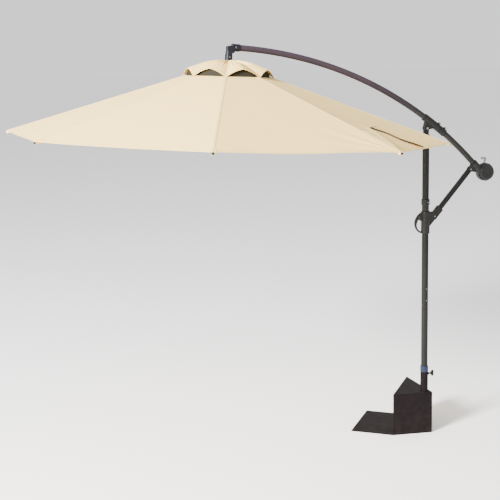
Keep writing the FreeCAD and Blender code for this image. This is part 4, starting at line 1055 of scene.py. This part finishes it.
def make_fixings():
    """Screws, a rivet and the weld, where they show."""
    ring_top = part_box("collar_liner")[1].z
    rivet_at = (RIVET_X, -(MAST_R + RING_WALL), ring_top - RIVET_DOWN)
    screw_head("Ring_rivet", rivet_at, RIVET_R, "collar", cross=False)
    joint_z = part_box("mast_upper_tube")[0].z
    screw_head("Mast_joint_screw", (0.0, -MAST_R, joint_z - JOINT_SCREW_OFF), SCREW_R, "mast")
    screw_head("Mast_joint_screw_upper", (0.0, -MAST_R, joint_z + JOINT_SCREW_OFF), SCREW_R, "mast")
    weld_bead("Socket_weld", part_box("ballast_box")[1].z + WELD_UP)
    screw_head("Elbow_sleeve_screw", ELBOW_SCREW, ELBOW_SCREW_R, "arm")
    screw_head("Skirt_screw", HUB @ SKIRT_SCREW, SCREW_R, "arm")


# ---------------------------------------------------------------- floor, light, camera
FLOOR_HALF = 150.0
FLOOR_Z = -0.001
WORLD_STRENGTH = 1.2
# Name, place, what it is aimed at, width and power of each lamp
LAMPS = (("Key", (-10.2, -4.4, 5.6), (-1.2, 0, 2.0), 3.0, 6900.0),
         ("Fill", (5.0, -6.0, 3.5), (0.0, 0, 1.2), 4.0, 60.0))
CAMERA_TURN, CAMERA_PITCH, CAMERA_ROLL = -20.652, 10.273, -1.279       # degrees
CAMERA_BACK, CAMERA_LEFT, CAMERA_UP = 6.972, 1.169, 2.559
LENS = 76.445
SENSOR = 36.0


def make_stage():
    """Pale floor, plain white world and two lamps."""
    floor_look = Look("Pale_floor", (0.96, 0.96, 0.96), 0.9)
    corners = [(x * FLOOR_HALF, y * FLOOR_HALF, FLOOR_Z) for x, y in ((-1, -1), (1, -1), (1, 1), (-1, 1))]
    floor = piece("Floor", corners, [(0, 1, 2, 3)], floor_look.material)
    world = bpy.data.worlds.new("Studio")
    world.use_nodes = True
    background = world.node_tree.nodes["Background"]
    background.inputs["Color"].default_value = (1.0, 1.0, 1.0, 1.0)
    background.inputs["Strength"].default_value = WORLD_STRENGTH
    bpy.context.scene.world = world
    for name, place, aim, size, power in LAMPS:
        lamp = bpy.data.lights.new(name, "AREA")
        lamp.shape = "DISK"
        lamp.size = size
        lamp.energy = power
        obj = bpy.data.objects.new(name, lamp)
        bpy.context.scene.collection.objects.link(obj)
        obj.location = place
        obj.rotation_mode = "QUATERNION"
        obj.rotation_quaternion = (Vector(aim) - Vector(place)).to_track_quat("-Z", "Y")


def make_camera():
    """Long lens at a little over head height, looking down across the base."""
    turn, pitch, roll = (math.radians(a) for a in (CAMERA_TURN, CAMERA_PITCH, CAMERA_ROLL))
    back = Vector((math.sin(turn), -math.cos(turn), 0))
    right = Vector((math.cos(turn), math.sin(turn), 0))
    forward = -back * math.cos(pitch) + Vector((0, 0, -math.sin(pitch)))
    up = right.cross(forward)
    rolled_right = right * math.cos(roll) + up * math.sin(roll)
    rolled_up = -right * math.sin(roll) + up * math.cos(roll)
    lens = bpy.data.cameras.new("Camera")
    lens.sensor_width = SENSOR
    lens.lens = LENS
    lens.clip_end = 200.0
    camera = bpy.data.objects.new("Camera", lens)
    bpy.context.scene.collection.objects.link(camera)
    basis = Matrix((rolled_right, rolled_up, -forward)).transposed().to_4x4()
    place = back * CAMERA_BACK - right * CAMERA_LEFT + Vector((0, 0, CAMERA_UP))
    camera.matrix_world = Matrix.Translation(place) @ basis
    bpy.context.scene.camera = camera


finish_cad()
make_cloth()
make_cord()
make_fixings()
make_stage()
make_camera()

bpy.context.view_layer.update()
